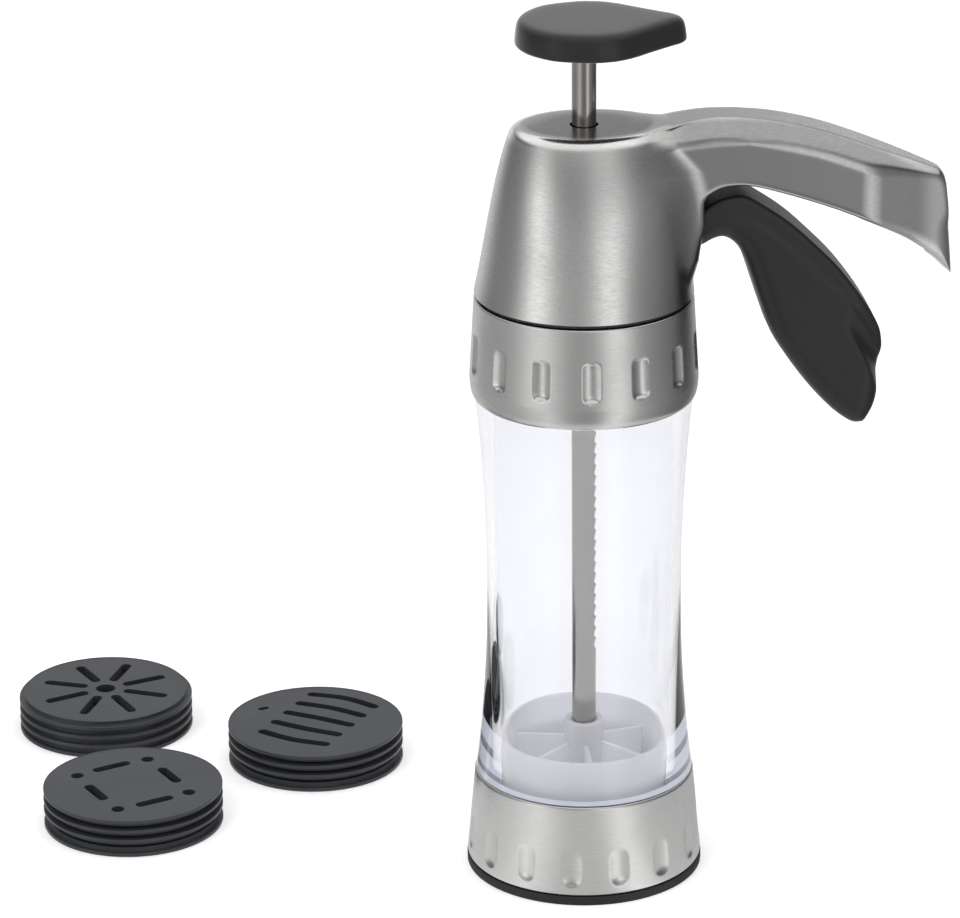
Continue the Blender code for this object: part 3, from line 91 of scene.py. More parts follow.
print("axis at", round(AXIS_X / MM, 2), round(AXIS_Y / MM, 2), "mm")

# %% [markdown]
# ## The camera
#
# The picture was taken with a long lens from well above the table, a little to
# the left of straight on. The press stands right of the middle, yet its sides
# don't lean. So the camera aims straight at the press's axis, and the lens is
# shifted sideways, as on a view camera, to bring the dies into the frame.

# %% Set up the camera
AIM_HEIGHT = 115.2 * MM
CAMERA_DISTANCE = 1400 * MM
CAMERA_ELEVATION = math.radians(21)
CAMERA_AZIMUTH = math.radians(-7)
SENSOR_WIDTH = 36.0
LENS_LENGTH = 198.98
LENS_SHIFT_SHARE = -0.1083
CLIP_START = 50 * MM
CLIP_END = 50000 * MM


def camera_place():
    """The camera's place, on an arc round the press's axis."""
    flat = CAMERA_DISTANCE * math.cos(CAMERA_ELEVATION)
    rise = AIM_HEIGHT + CAMERA_DISTANCE * math.sin(CAMERA_ELEVATION)
    return from_axis(flat * math.sin(CAMERA_AZIMUTH), -flat * math.cos(CAMERA_AZIMUTH), rise)


camera = placed("camera", bpy.data.cameras.new("camera"), camera_place())
aimed(camera, AIM_HEIGHT)
camera.data.sensor_width = SENSOR_WIDTH
camera.data.lens = LENS_LENGTH
camera.data.shift_x = LENS_SHIFT_SHARE
camera.data.clip_start = CLIP_START
camera.data.clip_end = CLIP_END
bpy.context.scene.camera = camera
bpy.context.scene.view_settings.view_transform = "Standard"
print("camera", [round(value, 3) for value in camera.location])

# %% [markdown]
# ## Studio light
#
# Steel has no colour of its own: it shows the room. A studio gives it tall soft
# boxes with grey gaps between them, which run down a round wall as bright and
# dark bands. Lamps could do it, but a panorama painted by direction in the
# world is smoother. Only mirror-like rays see it. Rays that the camera sends
# past the object find plain white, and soft grey lights the matt pieces.

# %% Paint the panorama
# bearing in degrees from the front, where right is positive, and brightness
PANORAMA = (
    (-180, 0.75), (-152, 0.72), (-138, 0.40), (-122, 0.20), (-100, 0.26), (-86, 0.32), (-73, 0.72),
    (-61, 1.50), (-50, 1.30), (-38, 0.66), (-26, 0.50), (-10, 0.50), (0, 0.60), (9, 1.00), (20, 1.50),
    (30, 1.02), (41, 0.42), (52, 0.30), (66, 0.24), (80, 0.17), (94, 0.12), (115, 0.12), (136, 0.20),
    (152, 0.62), (180, 0.75),
)
PANORAMA_BELOW = (
    (-180, 0.80), (-150, 0.75), (-133, 0.50), (-97, 0.46), (-83, 0.48), (-71, 0.58), (-58, 0.82),
    (-46, 1.02), (-34, 0.72), (-24, 0.40), (-12, 0.32), (2, 0.28), (9, 0.32), (18, 0.85), (27, 1.35),
    (37, 0.98), (47, 0.44), (61, 0.36), (75, 0.29), (89, 0.22), (107, 0.16), (129, 0.14), (150, 0.55),
    (180, 0.80),
)
BELOW_FULL = -0.30
BELOW_START = -0.06
OVERHEAD_BRIGHTNESS = 0.95
OVERHEAD_START = 0.42
OVERHEAD_FULL = 0.62
CEILING_START = 0.20
CEILING_FULL = 0.34
CEILING_SHARE = 0.45
FILL_STRENGTH = 0.60
FILL_COLOUR = (0.98, 0.99, 1.0)


def add_node(tree, kind, **values):
    """A shader node with some of its sockets or settings given."""
    node = tree.nodes.new("ShaderNode" + kind)
    for name, value in values.items():
        if hasattr(node, name):
            setattr(node, name, value)
        else:
            node.inputs[name.replace("_", " ")].default_value = value
    return node


def maths(tree, operation, first, second=None, third=None):
    """A Math node fed by sockets or numbers."""
    node = add_node(tree, "Math", operation=operation)
    for index, value in enumerate((first, second, third)):
        if isinstance(value, bpy.types.NodeSocket):
            tree.links.new(value, node.inputs[index])
        elif value is not None:
            node.inputs[index].default_value = value
    return node.outputs[0]


def grey_ramp(tree, factor, stops, interpolation="LINEAR"):
    """A Color Ramp of greys, with stops from 0 to 1."""
    ramp = add_node(tree, "ValToRGB").color_ramp
    ramp.interpolation = interpolation
    while len(ramp.elements) > 1:
        ramp.elements.remove(ramp.elements[-1])
    for index, (place, grey) in enumerate(stops):
        element = ramp.elements[0] if index == 0 else ramp.elements.new(place)
        element.position = place
        element.color = (grey, grey, grey, 1.0)
    node = tree.nodes[-1]
    tree.links.new(factor, node.inputs[0])
    return node.outputs[0]


def soft_step(tree, value, start, end):
    """A smooth rise from 0 to 1 as the value goes from start to end."""
    node = add_node(tree, "MapRange", interpolation_type="SMOOTHSTEP")
    node.inputs["From Min"].default_value = start
    node.inputs["From Max"].default_value = end
    tree.links.new(value, node.inputs["Value"])
    return node.outputs[0]


def banded(tree, across, away, stops):
    """The brightness of the panorama in the bearing of two coordinates."""
    bearing = maths(tree, "ARCTAN2", across, maths(tree, "MULTIPLY", away, -1.0))
    share = maths(tree, "MULTIPLY_ADD", bearing, 1 / math.tau, 0.5)
    return grey_ramp(tree, share, [(angle / 360 + 0.5, grey) for angle, grey in stops], "EASE")


def paint_world():
    """White behind the object, bands for mirror rays and soft grey for the rest."""
    world = bpy.data.worlds.new("studio")
    bpy.context.scene.world = world
    world.use_nodes = True
    tree = world.node_tree
    tree.nodes.clear()
    direction = add_node(tree, "TexCoord").outputs["Generated"]
    parts = add_node(tree, "SeparateXYZ")
    tree.links.new(direction, parts.inputs[0])
    across, away, up = parts.outputs
    level, below = (banded(tree, across, away, stops) for stops in (PANORAMA, PANORAMA_BELOW))
    rise = soft_step(tree, up, BELOW_FULL, BELOW_START)
    bands = maths(tree, "ADD", maths(tree, "MULTIPLY", level, rise), maths(
        tree, "MULTIPLY", below, maths(tree, "SUBTRACT", 1.0, rise)))
    ceiling = maths(
        tree, "MULTIPLY_ADD", soft_step(tree, up, CEILING_START, CEILING_FULL), CEILING_SHARE - 1.0, 1.0)
    bands = maths(tree, "MULTIPLY", bands, ceiling)
    mix = add_node(tree, "Mix", data_type="FLOAT")
    tree.links.new(soft_step(tree, up, OVERHEAD_START, OVERHEAD_FULL), mix.inputs[0])
    tree.links.new(bands, mix.inputs[2])
    mix.inputs[3].default_value = OVERHEAD_BRIGHTNESS
    mirror = add_node(tree, "Background")
    tree.links.new(mix.outputs[0], mirror.inputs["Color"])
    fill = add_node(tree, "Background", Strength=FILL_STRENGTH)
    fill.inputs["Color"].default_value = (*FILL_COLOUR, 1.0)
    white = add_node(tree, "Background", Strength=1.0)
    white.inputs["Color"].default_value = (1.0, 1.0, 1.0, 1.0)
    path = add_node(tree, "LightPath")
    sees_white = maths(tree, "MAXIMUM", path.outputs["Is Camera Ray"], path.outputs["Is Transmission Ray"])
    first = add_node(tree, "MixShader")
    tree.links.new(path.outputs["Is Glossy Ray"], first.inputs[0])
    tree.links.new(fill.outputs[0], first.inputs[1])
    tree.links.new(mirror.outputs[0], first.inputs[2])
    second = add_node(tree, "MixShader")
    tree.links.new(sees_white, second.inputs[0])
    tree.links.new(first.outputs[0], second.inputs[1])
    tree.links.new(white.outputs[0], second.inputs[2])
    output = add_node(tree, "OutputWorld")
    tree.links.new(second.outputs[0], output.inputs["Surface"])


paint_world()
print("panorama stops:", len(PANORAMA), "level and", len(PANORAMA_BELOW), "below")

# %% Hang the lamps
# name, place from the axis in metres, width in metres, power in watts
LAMPS = (
    ("key_softbox", (-0.9, -0.7, 1.2), 0.9, 8.0),
    ("side_softbox", (1.0, -0.5, 0.8), 0.8, 4.0),
    ("top_softbox", (0.1, 0.3, 1.5), 1.2, 8.0),
)

for name, place, width, power in LAMPS:
    light = bpy.data.lights.new(name, "AREA")
    light.shape = "SQUARE"
    light.size = width
    light.energy = power
    lamp = placed(name, light, from_axis(*place))
    aimed(lamp, AIM_HEIGHT / 2)
    lamp.visible_glossy = False
    lamp.visible_transmission = False
print("lamps", [name for name, *_ in LAMPS])

# %% [markdown]
# ## The floor
#
# The real floor is a white sweep that burns out to pure white, with faint
# shadows close to the pieces. The floor here stays a pale matt colour. Rays
# from the camera and through clear plastic also find a little glow in it, which
# lifts it to white and keeps the shadows. Mirrors look past the floor to the
# panorama, which has grey below its horizon as well. Only the base stands so
# close to white paper that its steel shows it, so a small card under it glows
# for mirrors alone.

# %% Lay the floor
FLOOR_HALF_SIZE = 6.0
FLOOR_GREY = 0.80
FLOOR_GLOW = 0.34
GLOW_THROUGH_PLASTIC = 0.26
FLOOR_GAP = 0.02 * MM
CARD_RADIUS = 170 * MM
CARD_GLOW = 0.50
CARD_BANDS = 0.55
CARD_CORNERS = 64


def floor_material():
    material = bpy.data.materials.new("pale floor")
    material.use_nodes = True
    tree = material.node_tree
    shader = tree.nodes["Principled BSDF"]
    shader.inputs["Base Color"].default_value = (FLOOR_GREY, FLOOR_GREY, FLOOR_GREY, 1.0)
    shader.inputs["Roughness"].default_value = 0.9
    shader.inputs["Specular IOR Level"].default_value = 0.0
    shader.inputs["Emission Color"].default_value = (1.0, 1.0, 1.0, 1.0)
    path = add_node(tree, "LightPath")
    straight = maths(tree, "MULTIPLY", path.outputs["Is Camera Ray"], FLOOR_GLOW)
    through = maths(tree, "MULTIPLY", path.outputs["Is Transmission Ray"], GLOW_THROUGH_PLASTIC)
    tree.links.new(maths(tree, "ADD", straight, through), shader.inputs["Emission Strength"])
    return material


floor_mesh = bpy.data.meshes.new("floor")
corners = [(-1, -1), (1, -1), (1, 1), (-1, 1)]
floor_mesh.from_pydata(
    [(FLOOR_HALF_SIZE * x, FLOOR_HALF_SIZE * y, -FLOOR_GAP) for x, y in corners], [], [(0, 1, 2, 3)])
floor = placed("floor", floor_mesh)
floor.data.materials.append(floor_material())
floor.visible_glossy = False


def card_material():
    """A glow that is stronger where the soft boxes light the paper."""
    material = bpy.data.materials.new("white card")
    material.use_nodes = True
    tree = material.node_tree
    tree.nodes.clear()
    parts = add_node(tree, "SeparateXYZ")
    tree.links.new(add_node(tree, "TexCoord").outputs["Object"], parts.inputs[0])
    bands = banded(tree, parts.outputs[0], parts.outputs[1], PANORAMA_BELOW)
    glow = add_node(tree, "Emission")
    tree.links.new(maths(tree, "MULTIPLY_ADD", bands, CARD_BANDS, CARD_GLOW), glow.inputs["Strength"])
    tree.links.new(glow.outputs[0], add_node(tree, "OutputMaterial").inputs["Surface"])
    return material


card_mesh = bpy.data.meshes.new("card")
rim = []
for step in range(CARD_CORNERS):
    turn = math.tau * step / CARD_CORNERS
    rim.append((CARD_RADIUS * math.cos(turn), CARD_RADIUS * math.sin(turn), 0.0))
card_mesh.from_pydata(rim, [], [range(CARD_CORNERS)])
card = placed("card", card_mesh, from_axis(0, 0, -FLOOR_GAP / 2))
card.data.materials.append(card_material())
card.visible_camera = False
card.visible_diffuse = False
card.visible_transmission = False
card.visible_shadow = False
print("floor laid, with a card of", round(2 * CARD_RADIUS / MM), "mm")

# %% [markdown]
# ## Finishes
#
# Every finish starts from the Principled shader. Fine procedural detail drives
# its colour, roughness and bump: the grain of brushed steel, the faint orange
# peel of moulded plastic, the bloom of a soft grip. A helper makes the noise,
# stretched along the direction in which the real surface was worked.

# %% Helpers for finishes


def principled(name, colour, roughness, **sockets):
    """A Principled material with plain values, and its node tree."""
    material = bpy.data.materials.new(name)
    material.use_nodes = True
    shader = material.node_tree.nodes["Principled BSDF"]
    shader.inputs["Base Color"].default_value = (*colour, 1.0)
    shader.inputs["Roughness"].default_value = roughness
    for socket, value in sockets.items():
        shader.inputs[socket.replace("_", " ")].default_value = value
    return material, material.node_tree, shader


def noise(tree, vector, scale, detail=4.0, roughness=0.6):
    """Fractal noise read at a vector."""
    node = add_node(tree, "TexNoise", Scale=scale, Detail=detail, Roughness=roughness)
    tree.links.new(vector, node.inputs["Vector"])
    return node.outputs[0]


def spread(tree, value, low, high, start=0.3, end=0.7):
    """A noise value moved from its usual range to the range that is wanted."""
    node = add_node(tree, "MapRange")
    tree.links.new(value, node.inputs["Value"])
    for name, number in (("From Min", start), ("From Max", end), ("To Min", low), ("To Max", high)):
        node.inputs[name].default_value = number
    return node.outputs[0]


def tint(tree, factor, first, second):
    """A colour between two, by a factor."""
    node = add_node(tree, "Mix", data_type="RGBA")
    tree.links.new(factor, node.inputs[0])
    node.inputs[6].default_value = (*first, 1.0)
    node.inputs[7].default_value = (*second, 1.0)
    return node.outputs[2]


def bump(tree, shader, height, distance, strength=1.0):
    """Bump on the shader from a height."""
    node = add_node(tree, "Bump", Strength=strength, Distance=distance)
    tree.links.new(height, node.inputs["Height"])
    tree.links.new(node.outputs[0], shader.inputs["Normal"])


def round_coordinates(tree, along_share, up_share):
    """Coordinates that run round the press's axis, stretched for turned brushing."""
    parts = add_node(tree, "SeparateXYZ")
    tree.links.new(add_node(tree, "TexCoord").outputs["Object"], parts.inputs[0])
    angle = maths(tree, "ARCTAN2", parts.outputs[1], parts.outputs[0])
    join = add_node(tree, "CombineXYZ")
    tree.links.new(maths(tree, "MULTIPLY", angle, along_share), join.inputs[0])
    tree.links.new(maths(tree, "MULTIPLY", parts.outputs[2], up_share), join.inputs[1])
    return join.outputs[0]


def straight_coordinates(tree, scale):
    """Object coordinates, stretched by a scale for each axis."""
    mapping = add_node(tree, "Mapping")
    tree.links.new(add_node(tree, "TexCoord").outputs["Object"], mapping.inputs["Vector"])
    mapping.inputs["Scale"].default_value = scale
    return mapping.outputs[0]


print("helpers ready")

# %% Brushed steel
STEEL_COLOUR = (0.70, 0.697, 0.69)
STEEL_SHADE = (0.57, 0.566, 0.56)
DARK_STEEL = (0.42, 0.405, 0.385)
DARK_STEEL_SHADE = (0.34, 0.325, 0.305)
GRAIN_SHARE = 0.65
CLOUD_SCALE = 70.0


def brushed_steel(name, coordinates, low_rough, high_rough, anisotropy=0.0, depth=0.012, marks=(),
                  colours=(STEEL_SHADE, STEEL_COLOUR)):
    """Steel with a fine grain. Each mark is a mask, what it multiplies colour by to paint light or shade,
    and roughness by.
    """
    material, tree, shader = principled(name, colours[1], 0.3, Metallic=1.0, Anisotropic=anisotropy)
    grain = noise(tree, coordinates(tree), 1.0, detail=5.0)
    cloud = noise(tree, straight_coordinates(tree, (1, 1, 1)), CLOUD_SCALE, detail=3.0)
    blend = maths(tree, "MULTIPLY_ADD", cloud, 1 - GRAIN_SHARE, maths(tree, "MULTIPLY", grain, GRAIN_SHARE))
    colour = tint(tree, spread(tree, blend, 0.0, 1.0), *colours)
    rough = spread(tree, blend, high_rough, low_rough)
    # a colour share below 1 paints shade and one above 1 paints a highlight
    for mask_maker, colour_share, rough_share in marks:
        mask = mask_maker(tree)
        scale = add_node(tree, "VectorMath", operation="SCALE")
        tree.links.new(colour, scale.inputs[0])
        tree.links.new(maths(tree, "MULTIPLY_ADD", mask, colour_share - 1.0, 1.0), scale.inputs["Scale"])
        colour = scale.outputs[0]
        rough = maths(tree, "MULTIPLY", rough, maths(tree, "MULTIPLY_ADD", mask, rough_share - 1.0, 1.0))
    tree.links.new(colour, shader.inputs["Base Color"])
    tree.links.new(rough, shader.inputs["Roughness"])
    bump(tree, shader, grain, depth * MM, 0.5)
    if anisotropy:
        tangent = add_node(tree, "Tangent", direction_type="RADIAL", axis="Z")
        tree.links.new(tangent.outputs[0], shader.inputs["Tangent"])
    return material


print("steel colour:", STEEL_COLOUR)

# %% [markdown]
# ## Painted light and shade on the head
#
# Three places on the head have light or shade painted into their colour, and
# their own roughness. The oval facet round the rod is polished, and its colour
# is darkened to paint its dark reflection. Its front lip is smoother, and its
# colour is brightened to paint a highlight. The arm is brushed along its length,
# and the colour of its sides and shoulders is darkened to paint shade.
# Each place is a mask, made from the distance to where it lies.

# %% Masks for painted light and shade on the head
FACET_LEVEL = 207.6 * MM
FACET_MIDDLE = 1.4 * MM
FACET_HALF_LENGTH = 17.9 * MM
FACET_HALF_DEPTH = 12.6 * MM
# where the arm's painted shade and its lengthwise grain begin and where they are full
ARM_SHADE_AND_GRAIN_START = 15 * MM
ARM_SHADE_AND_GRAIN_FULL = 27 * MM
STRIP_EDGE = 4.2 * MM
STRIP_END = 6.2 * MM
# where each edge of a mask starts and where it is full, in shares of the facet's reach or in lengths
FACET_CRISP = (-0.98, -0.86)
FACET_SOFT = (-1.05, -0.55)
FACET_BEHIND = (-4 * MM, 6 * MM)
FACET_HEIGHTS = (FACET_LEVEL - 1.0 * MM, FACET_LEVEL - 0.6 * MM)
LIP_INNER = (0.97, 1.04)
LIP_OUTER = (-1.32, -1.16)
LIP_LEFT = (-17 * MM, -10 * MM)
LIP_HEIGHTS = (FACET_LEVEL - 4.0 * MM, FACET_LEVEL - 1.5 * MM)


def object_parts(tree):
    """The three object coordinates."""
    parts = add_node(tree, "SeparateXYZ")
    tree.links.new(add_node(tree, "TexCoord").outputs["Object"], parts.inputs[0])
    return parts.outputs


def facet_reach(tree, across, away):
    """0 in the facet's middle and 1 on its edge."""
    along = maths(tree, "MULTIPLY_ADD", across, 1 / FACET_HALF_LENGTH, -FACET_MIDDLE / FACET_HALF_LENGTH)
    aside = maths(tree, "MULTIPLY", away, 1 / FACET_HALF_DEPTH)
    squares = [maths(tree, "POWER", part, 2.0) for part in (along, aside)]
    return maths(tree, "SQRT", maths(tree, "ADD", *squares))


def facet_polish_and_shade_mask(tree):
    """1 on the oval facet, which fades out behind and is crisp in front. There the colour is darkened to
    paint the facet's dark reflection.
    """
    across, away, up = object_parts(tree)
    reach = maths(tree, "MULTIPLY", facet_reach(tree, across, away), -1.0)
    crisp = soft_step(tree, reach, *FACET_CRISP)
    soft = soft_step(tree, reach, *FACET_SOFT)
    behind = soft_step(tree, away, *FACET_BEHIND)
    inside = maths(tree, "ADD", maths(tree, "MULTIPLY", soft, behind), maths(
        tree, "MULTIPLY", crisp, maths(tree, "SUBTRACT", 1.0, behind)))
    return maths(tree, "MULTIPLY", inside, soft_step(tree, up, *FACET_HEIGHTS))


def lip_polish_and_highlight_mask(tree):
    """1 on the lip in front of the facet, where the colour is brightened to paint a highlight."""
    across, away, up = object_parts(tree)
    reach = facet_reach(tree, across, away)
    ring = maths(tree, "MULTIPLY", soft_step(tree, reach, *LIP_INNER), soft_step(
        tree, maths(tree, "MULTIPLY", reach, -1.0), *LIP_OUTER))
    left = soft_step(tree, maths(tree, "MULTIPLY", across, -1.0), *LIP_LEFT)
    high = soft_step(tree, up, *LIP_HEIGHTS)
    return maths(tree, "MULTIPLY", maths(tree, "MULTIPLY", ring, left), high)


def arm_grain_and_shade_mask(tree):
    """1 on the arm's sides and shoulders, where the colour is darkened to paint shade, and 0 on its flat top
    and on the cone.
    """
    across, away, _ = object_parts(tree)
    aside = soft_step(tree, maths(tree, "ABSOLUTE", away), STRIP_EDGE, STRIP_END)
    return maths(tree, "MULTIPLY", aside, soft_step(tree, across, ARM_SHADE_AND_GRAIN_START, ARM_SHADE_AND_GRAIN_FULL))


TURNED_STEEL = brushed_steel(
    "turned brushed steel", lambda tree: round_coordinates(tree, 6.0, 9000.0), 0.22, 0.33, 0.5)
# the facet's and the arm's marks darken the colour to paint shade, the lip's brightens it to paint a
# highlight; the roughness shares make facet and lip smoother and follow the arm's brushing
HEAD_STEEL = brushed_steel(
    "head brushed steel", lambda tree: straight_coordinates(tree, (500, 500, 2600)), 0.22, 0.33,
    marks=((facet_polish_and_shade_mask, 0.52, 0.95), (lip_polish_and_highlight_mask, 1.40, 0.8), (arm_grain_and_shade_mask, 0.62, 0.75)))
ROD_STEEL = brushed_steel(
    "rod steel", lambda tree: round_coordinates(tree, 4.0, 4000.0), 0.12, 0.20, 0.3,
    colours=(DARK_STEEL_SHADE, DARK_STEEL))
print("steel:", TURNED_STEEL.name, HEAD_STEEL.name, ROD_STEEL.name)

# %% Plastics and rubber
MOTTLE_SCALE = 45.0


def moulded(name, colour, shade, roughness, grain_scale=900.0, grain_depth=0.01, **sockets):
    """Moulded plastic or rubber: faint mottling, uneven gloss and orange peel."""
    material, tree, shader = principled(name, colour, roughness, **sockets)
    vector = straight_coordinates(tree, (1, 1, 1))
    cloud = noise(tree, vector, MOTTLE_SCALE, detail=3.0)
    fine = noise(tree, vector, grain_scale, detail=3.0)
    tree.links.new(tint(tree, spread(tree, cloud, 0.0, 1.0), shade, colour), shader.inputs["Base Color"])
    uneven = maths(tree, "MULTIPLY_ADD", fine, 0.5, maths(tree, "MULTIPLY", cloud, 0.5))
    tree.links.new(spread(tree, uneven, roughness * 0.9, roughness * 1.12), shader.inputs["Roughness"])
    bump(tree, shader, fine, grain_depth * MM, 0.6)
    return material


CLEAR_PLASTIC = moulded(
    "clear barrel plastic", (0.915, 0.918, 0.94), (0.895, 0.90, 0.925), 0.02, grain_scale=120.0,
    grain_depth=0.001, Transmission_Weight=1.0, IOR=1.49)
FROSTED_PLASTIC = moulded(
    "frosted barrel ends", (0.62, 0.64, 0.72), (0.58, 0.60, 0.68), 0.6, Specular_IOR_Level=0.3)
MILKY_PLASTIC = moulded(
    "milky piston plastic", (0.95, 0.95, 0.97), (0.91, 0.91, 0.94), 0.40, Transmission_Weight=0.55,
    IOR=1.46)
WHITE_PLASTIC = moulded("white bearing plastic", (0.82, 0.82, 0.80), (0.76, 0.76, 0.74), 0.45)
BLACK_PLASTIC = moulded("hard black plastic", (0.030, 0.030, 0.031), (0.024, 0.024, 0.025), 0.45)
SOFT_BLACK = moulded(
    "soft black grip", (0.010, 0.010, 0.012), (0.007, 0.007, 0.008), 0.44, grain_depth=0.012,
    Sheen_Weight=0.12, Sheen_Roughness=0.35)
KNOB_BLACK = moulded(
    "dusty black grip", (0.011, 0.011, 0.013), (0.008, 0.008, 0.009), 0.46, grain_depth=0.012,
    Sheen_Weight=0.95, Sheen_Roughness=0.30)
DIE_PLASTIC = moulded(
    "dark die plastic", (0.034, 0.037, 0.043), (0.025, 0.027, 0.032), 0.38, Sheen_Weight=0.06)
RUBBER = moulded("black foot rubber", (0.020, 0.020, 0.020), (0.015, 0.015, 0.015), 0.75)
print("plastics:", CLEAR_PLASTIC.name, MILKY_PLASTIC.name, DIE_PLASTIC.name)

# %% [markdown]
# ## Finishing the hidden works
#
# The frame in the head, the bushes, the screws and the insert in the base are
# seen only when the press is turned over or comes apart. Their shapes are right
# in the working model, so they keep them and only take a finish.

# %% Dress the pieces that keep their shape
KEPT = {
    "base_insert": BLACK_PLASTIC, "collar_ring": BLACK_PLASTIC, "head_frame": BLACK_PLASTIC,
    "lower_rod_bush": WHITE_PLASTIC, "upper_rod_bush": WHITE_PLASTIC, "friction_ring": RUBBER,
    "lever_pin": ROD_STEEL, "pawl_pin": ROD_STEEL, "drive_pawl": ROD_STEEL,
    "head_screw_1": ROD_STEEL, "head_screw_2": ROD_STEEL, "head_screw_3": ROD_STEEL,
    "piston_screw": ROD_STEEL, "return_spring": ROD_STEEL, "lever_core": BLACK_PLASTIC,
    "knob_core": BLACK_PLASTIC,
}


def dress(piece, *materials):
    """Give a piece its materials, first the main one."""
    piece.data.materials.clear()
    for material in materials:
        piece.data.materials.append(material)


for name, material in KEPT.items():
    dress(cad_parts[name], material)
print("kept and dressed:", len(KEPT))

# %% [markdown]
# ## Turned pieces
#
# A collar or a barrel is turned: one outline swept round an axis. Blender's
# Screw modifier would do it, and so does a short spin in bmesh, which also
# lets the outline's corners be rounded first. Rounded corners matter more than
# anything else here, because each one catches a thin line of light.

# %% Helpers for turned pieces
TURN_STEPS = 160
CORNER_STEPS = 4
MERGE_DISTANCE = 0.002 * MM
CORNER_LIMIT = 0.45


def finished(work, name, outward=True):
    """A mesh from a bmesh, with its faces turned outwards."""
    if outward:
        bmesh.ops.recalc_face_normals(work, faces=work.faces)
    mesh = bpy.data.meshes.new(name)
    work.to_mesh(mesh)
    work.free()
    return mesh


def rounded(profile, radius):
    """A closed outline with an arc in place of each corner."""
    points = [Vector(point) for point in profile]
    result = []
    for index, corner in enumerate(points):
        before = points[index - 1]
        after = points[(index + 1) % len(points)]
        reach_in = (before - corner).length
        reach_out = (after - corner).length
        cut = min(radius, reach_in * CORNER_LIMIT, reach_out * CORNER_LIMIT)
        start = corner + (before - corner).normalized() * cut
        end = corner + (after - corner).normalized() * cut
        for step in range(CORNER_STEPS + 1):
            t = step / CORNER_STEPS
            result.append(start * (1 - t) ** 2 + corner * 2 * t * (1 - t) + end * t ** 2)
    return result


def turned_mesh(name, profile, steps=TURN_STEPS):
    """A solid turned from a closed outline of (radius, height) points."""
    work = bmesh.new()
    verts = [work.verts.new((max(radius, 0.0), 0.0, z)) for radius, z in profile]
    edges = []
    for index, (radius, _) in enumerate(profile):
        if radius > MERGE_DISTANCE or profile[index - 1][0] > MERGE_DISTANCE:
            edges.append(work.edges.new((verts[index - 1], verts[index])))
    bmesh.ops.spin(
        work, geom=verts + edges, cent=(0, 0, 0), axis=(0, 0, 1), angle=math.tau, steps=steps,
        use_merge=True)
    bmesh.ops.remove_doubles(work, verts=work.verts, dist=MERGE_DISTANCE)
    return finished(work, name)


def set_piece(name, mesh, body, stands_for=(), materials=(), sharp=40, place=None):
    """Put a mesh in the scene, shade it, hang it on what it rides on, and hide the pieces it stands for."""
    piece = placed(name, mesh, from_axis(0, 0, 0) if place is None else place)
    dress(piece, *materials)
    mesh.shade_smooth()
    mesh.set_sharp_from_angle(angle=math.radians(sharp))
    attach(piece, body)
    if stands_for:
        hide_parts(*stands_for)
    return piece


def size_of(node):
    """A node's lowest and highest height, and its largest reach from the axis."""
    low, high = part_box(node)
    return low.z, high.z, (high.y - low.y) / 2


print("turning with", TURN_STEPS, "steps")

# %% [markdown]
# ## The clear barrel
#
# The barrel is a thick hourglass of clear plastic round a straight bore, with a
# thin neck at each end that hides in a collar. The outside is a curve: its wall
# grows from the waist towards both ends. Rays of light have to cross the real
# wall, so both its faces are modelled, and the bore is a true cylinder. The
# necks are frosted, so the dark inside of the collars doesn't show up the wall.

# %% Build the barrel
NECK_RADIUS = 24.9 * MM
BORE_RADIUS = 23.2 * MM
WAIST_RADIUS = 25.8 * MM
FOOT_RADIUS = 29.0 * MM
SHOULDER_RADIUS = 28.7 * MM
WAIST_SHARE = 0.48
BARREL_ROWS = 40
COLLAR_GAP = 0.3 * MM

base_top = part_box("base_collar")[1].z
collar_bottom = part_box("upper_collar")[0].z
clear_low = base_top + COLLAR_GAP
clear_high = collar_bottom - COLLAR_GAP


def barrel_radius(share):
    """The outer radius: from the waist it grows as the square of the distance."""
    if share < WAIST_SHARE:
        away = 1 - share / WAIST_SHARE
        end = FOOT_RADIUS
    else:
        away = (share - WAIST_SHARE) / (1 - WAIST_SHARE)
        end = SHOULDER_RADIUS
    return WAIST_RADIUS + (end - WAIST_RADIUS) * away ** 2


barrel_bottom, barrel_top, _ = size_of("barrel")
barrel_profile = [(BORE_RADIUS, barrel_top), (NECK_RADIUS, barrel_top), (NECK_RADIUS, clear_high)]
for row in range(BARREL_ROWS + 1):
    share = 1 - row / BARREL_ROWS
    barrel_profile.append((barrel_radius(share), clear_low + (clear_high - clear_low) * share))
barrel_profile += [(NECK_RADIUS, clear_low), (NECK_RADIUS, barrel_bottom), (BORE_RADIUS, barrel_bottom)]
barrel_mesh = turned_mesh("clear_barrel", barrel_profile)
barrel = set_piece(
    "clear_barrel", barrel_mesh, "barrel", ["barrel"], [CLEAR_PLASTIC, FROSTED_PLASTIC])
for face in barrel_mesh.polygons:
    face.material_index = 0 if clear_low < face.center.z < clear_high else 1
barrel.visible_shadow = False
barrel.visible_diffuse = False
print("barrel from", round(clear_low / MM, 1), "to", round(clear_high / MM, 1), "mm")

# %% [markdown]
# ## The fluted collars
#
# Both collars are steel rings with shallow finger flutes pressed into them. A
# Boolean could cut the flutes, but it leaves ragged edges on a dense mesh. So
# each collar is a grid that is wrapped round the axis, and a rule says how deep
# a flute is at each point. The flute's edge stays a crisp line that catches
# the light.

# %% Helper for a fluted ring
RING_COLUMNS = 720


def flute_depth(angle, height, flute):
    """How far the surface is pressed in at an angle and a height."""
    pitch = math.tau / flute["count"]
    offset = (angle - flute["turn"] + pitch / 2) % pitch - pitch / 2
    across = offset * flute["radius"] / (flute["width"] / 2)
    up = (height - flute["middle"]) / (flute["length"] / 2)
    hollow = 1 - across ** 2 - np.abs(up) ** flute["squareness"]
    return flute["depth"] * np.clip(hollow, 0, 1)


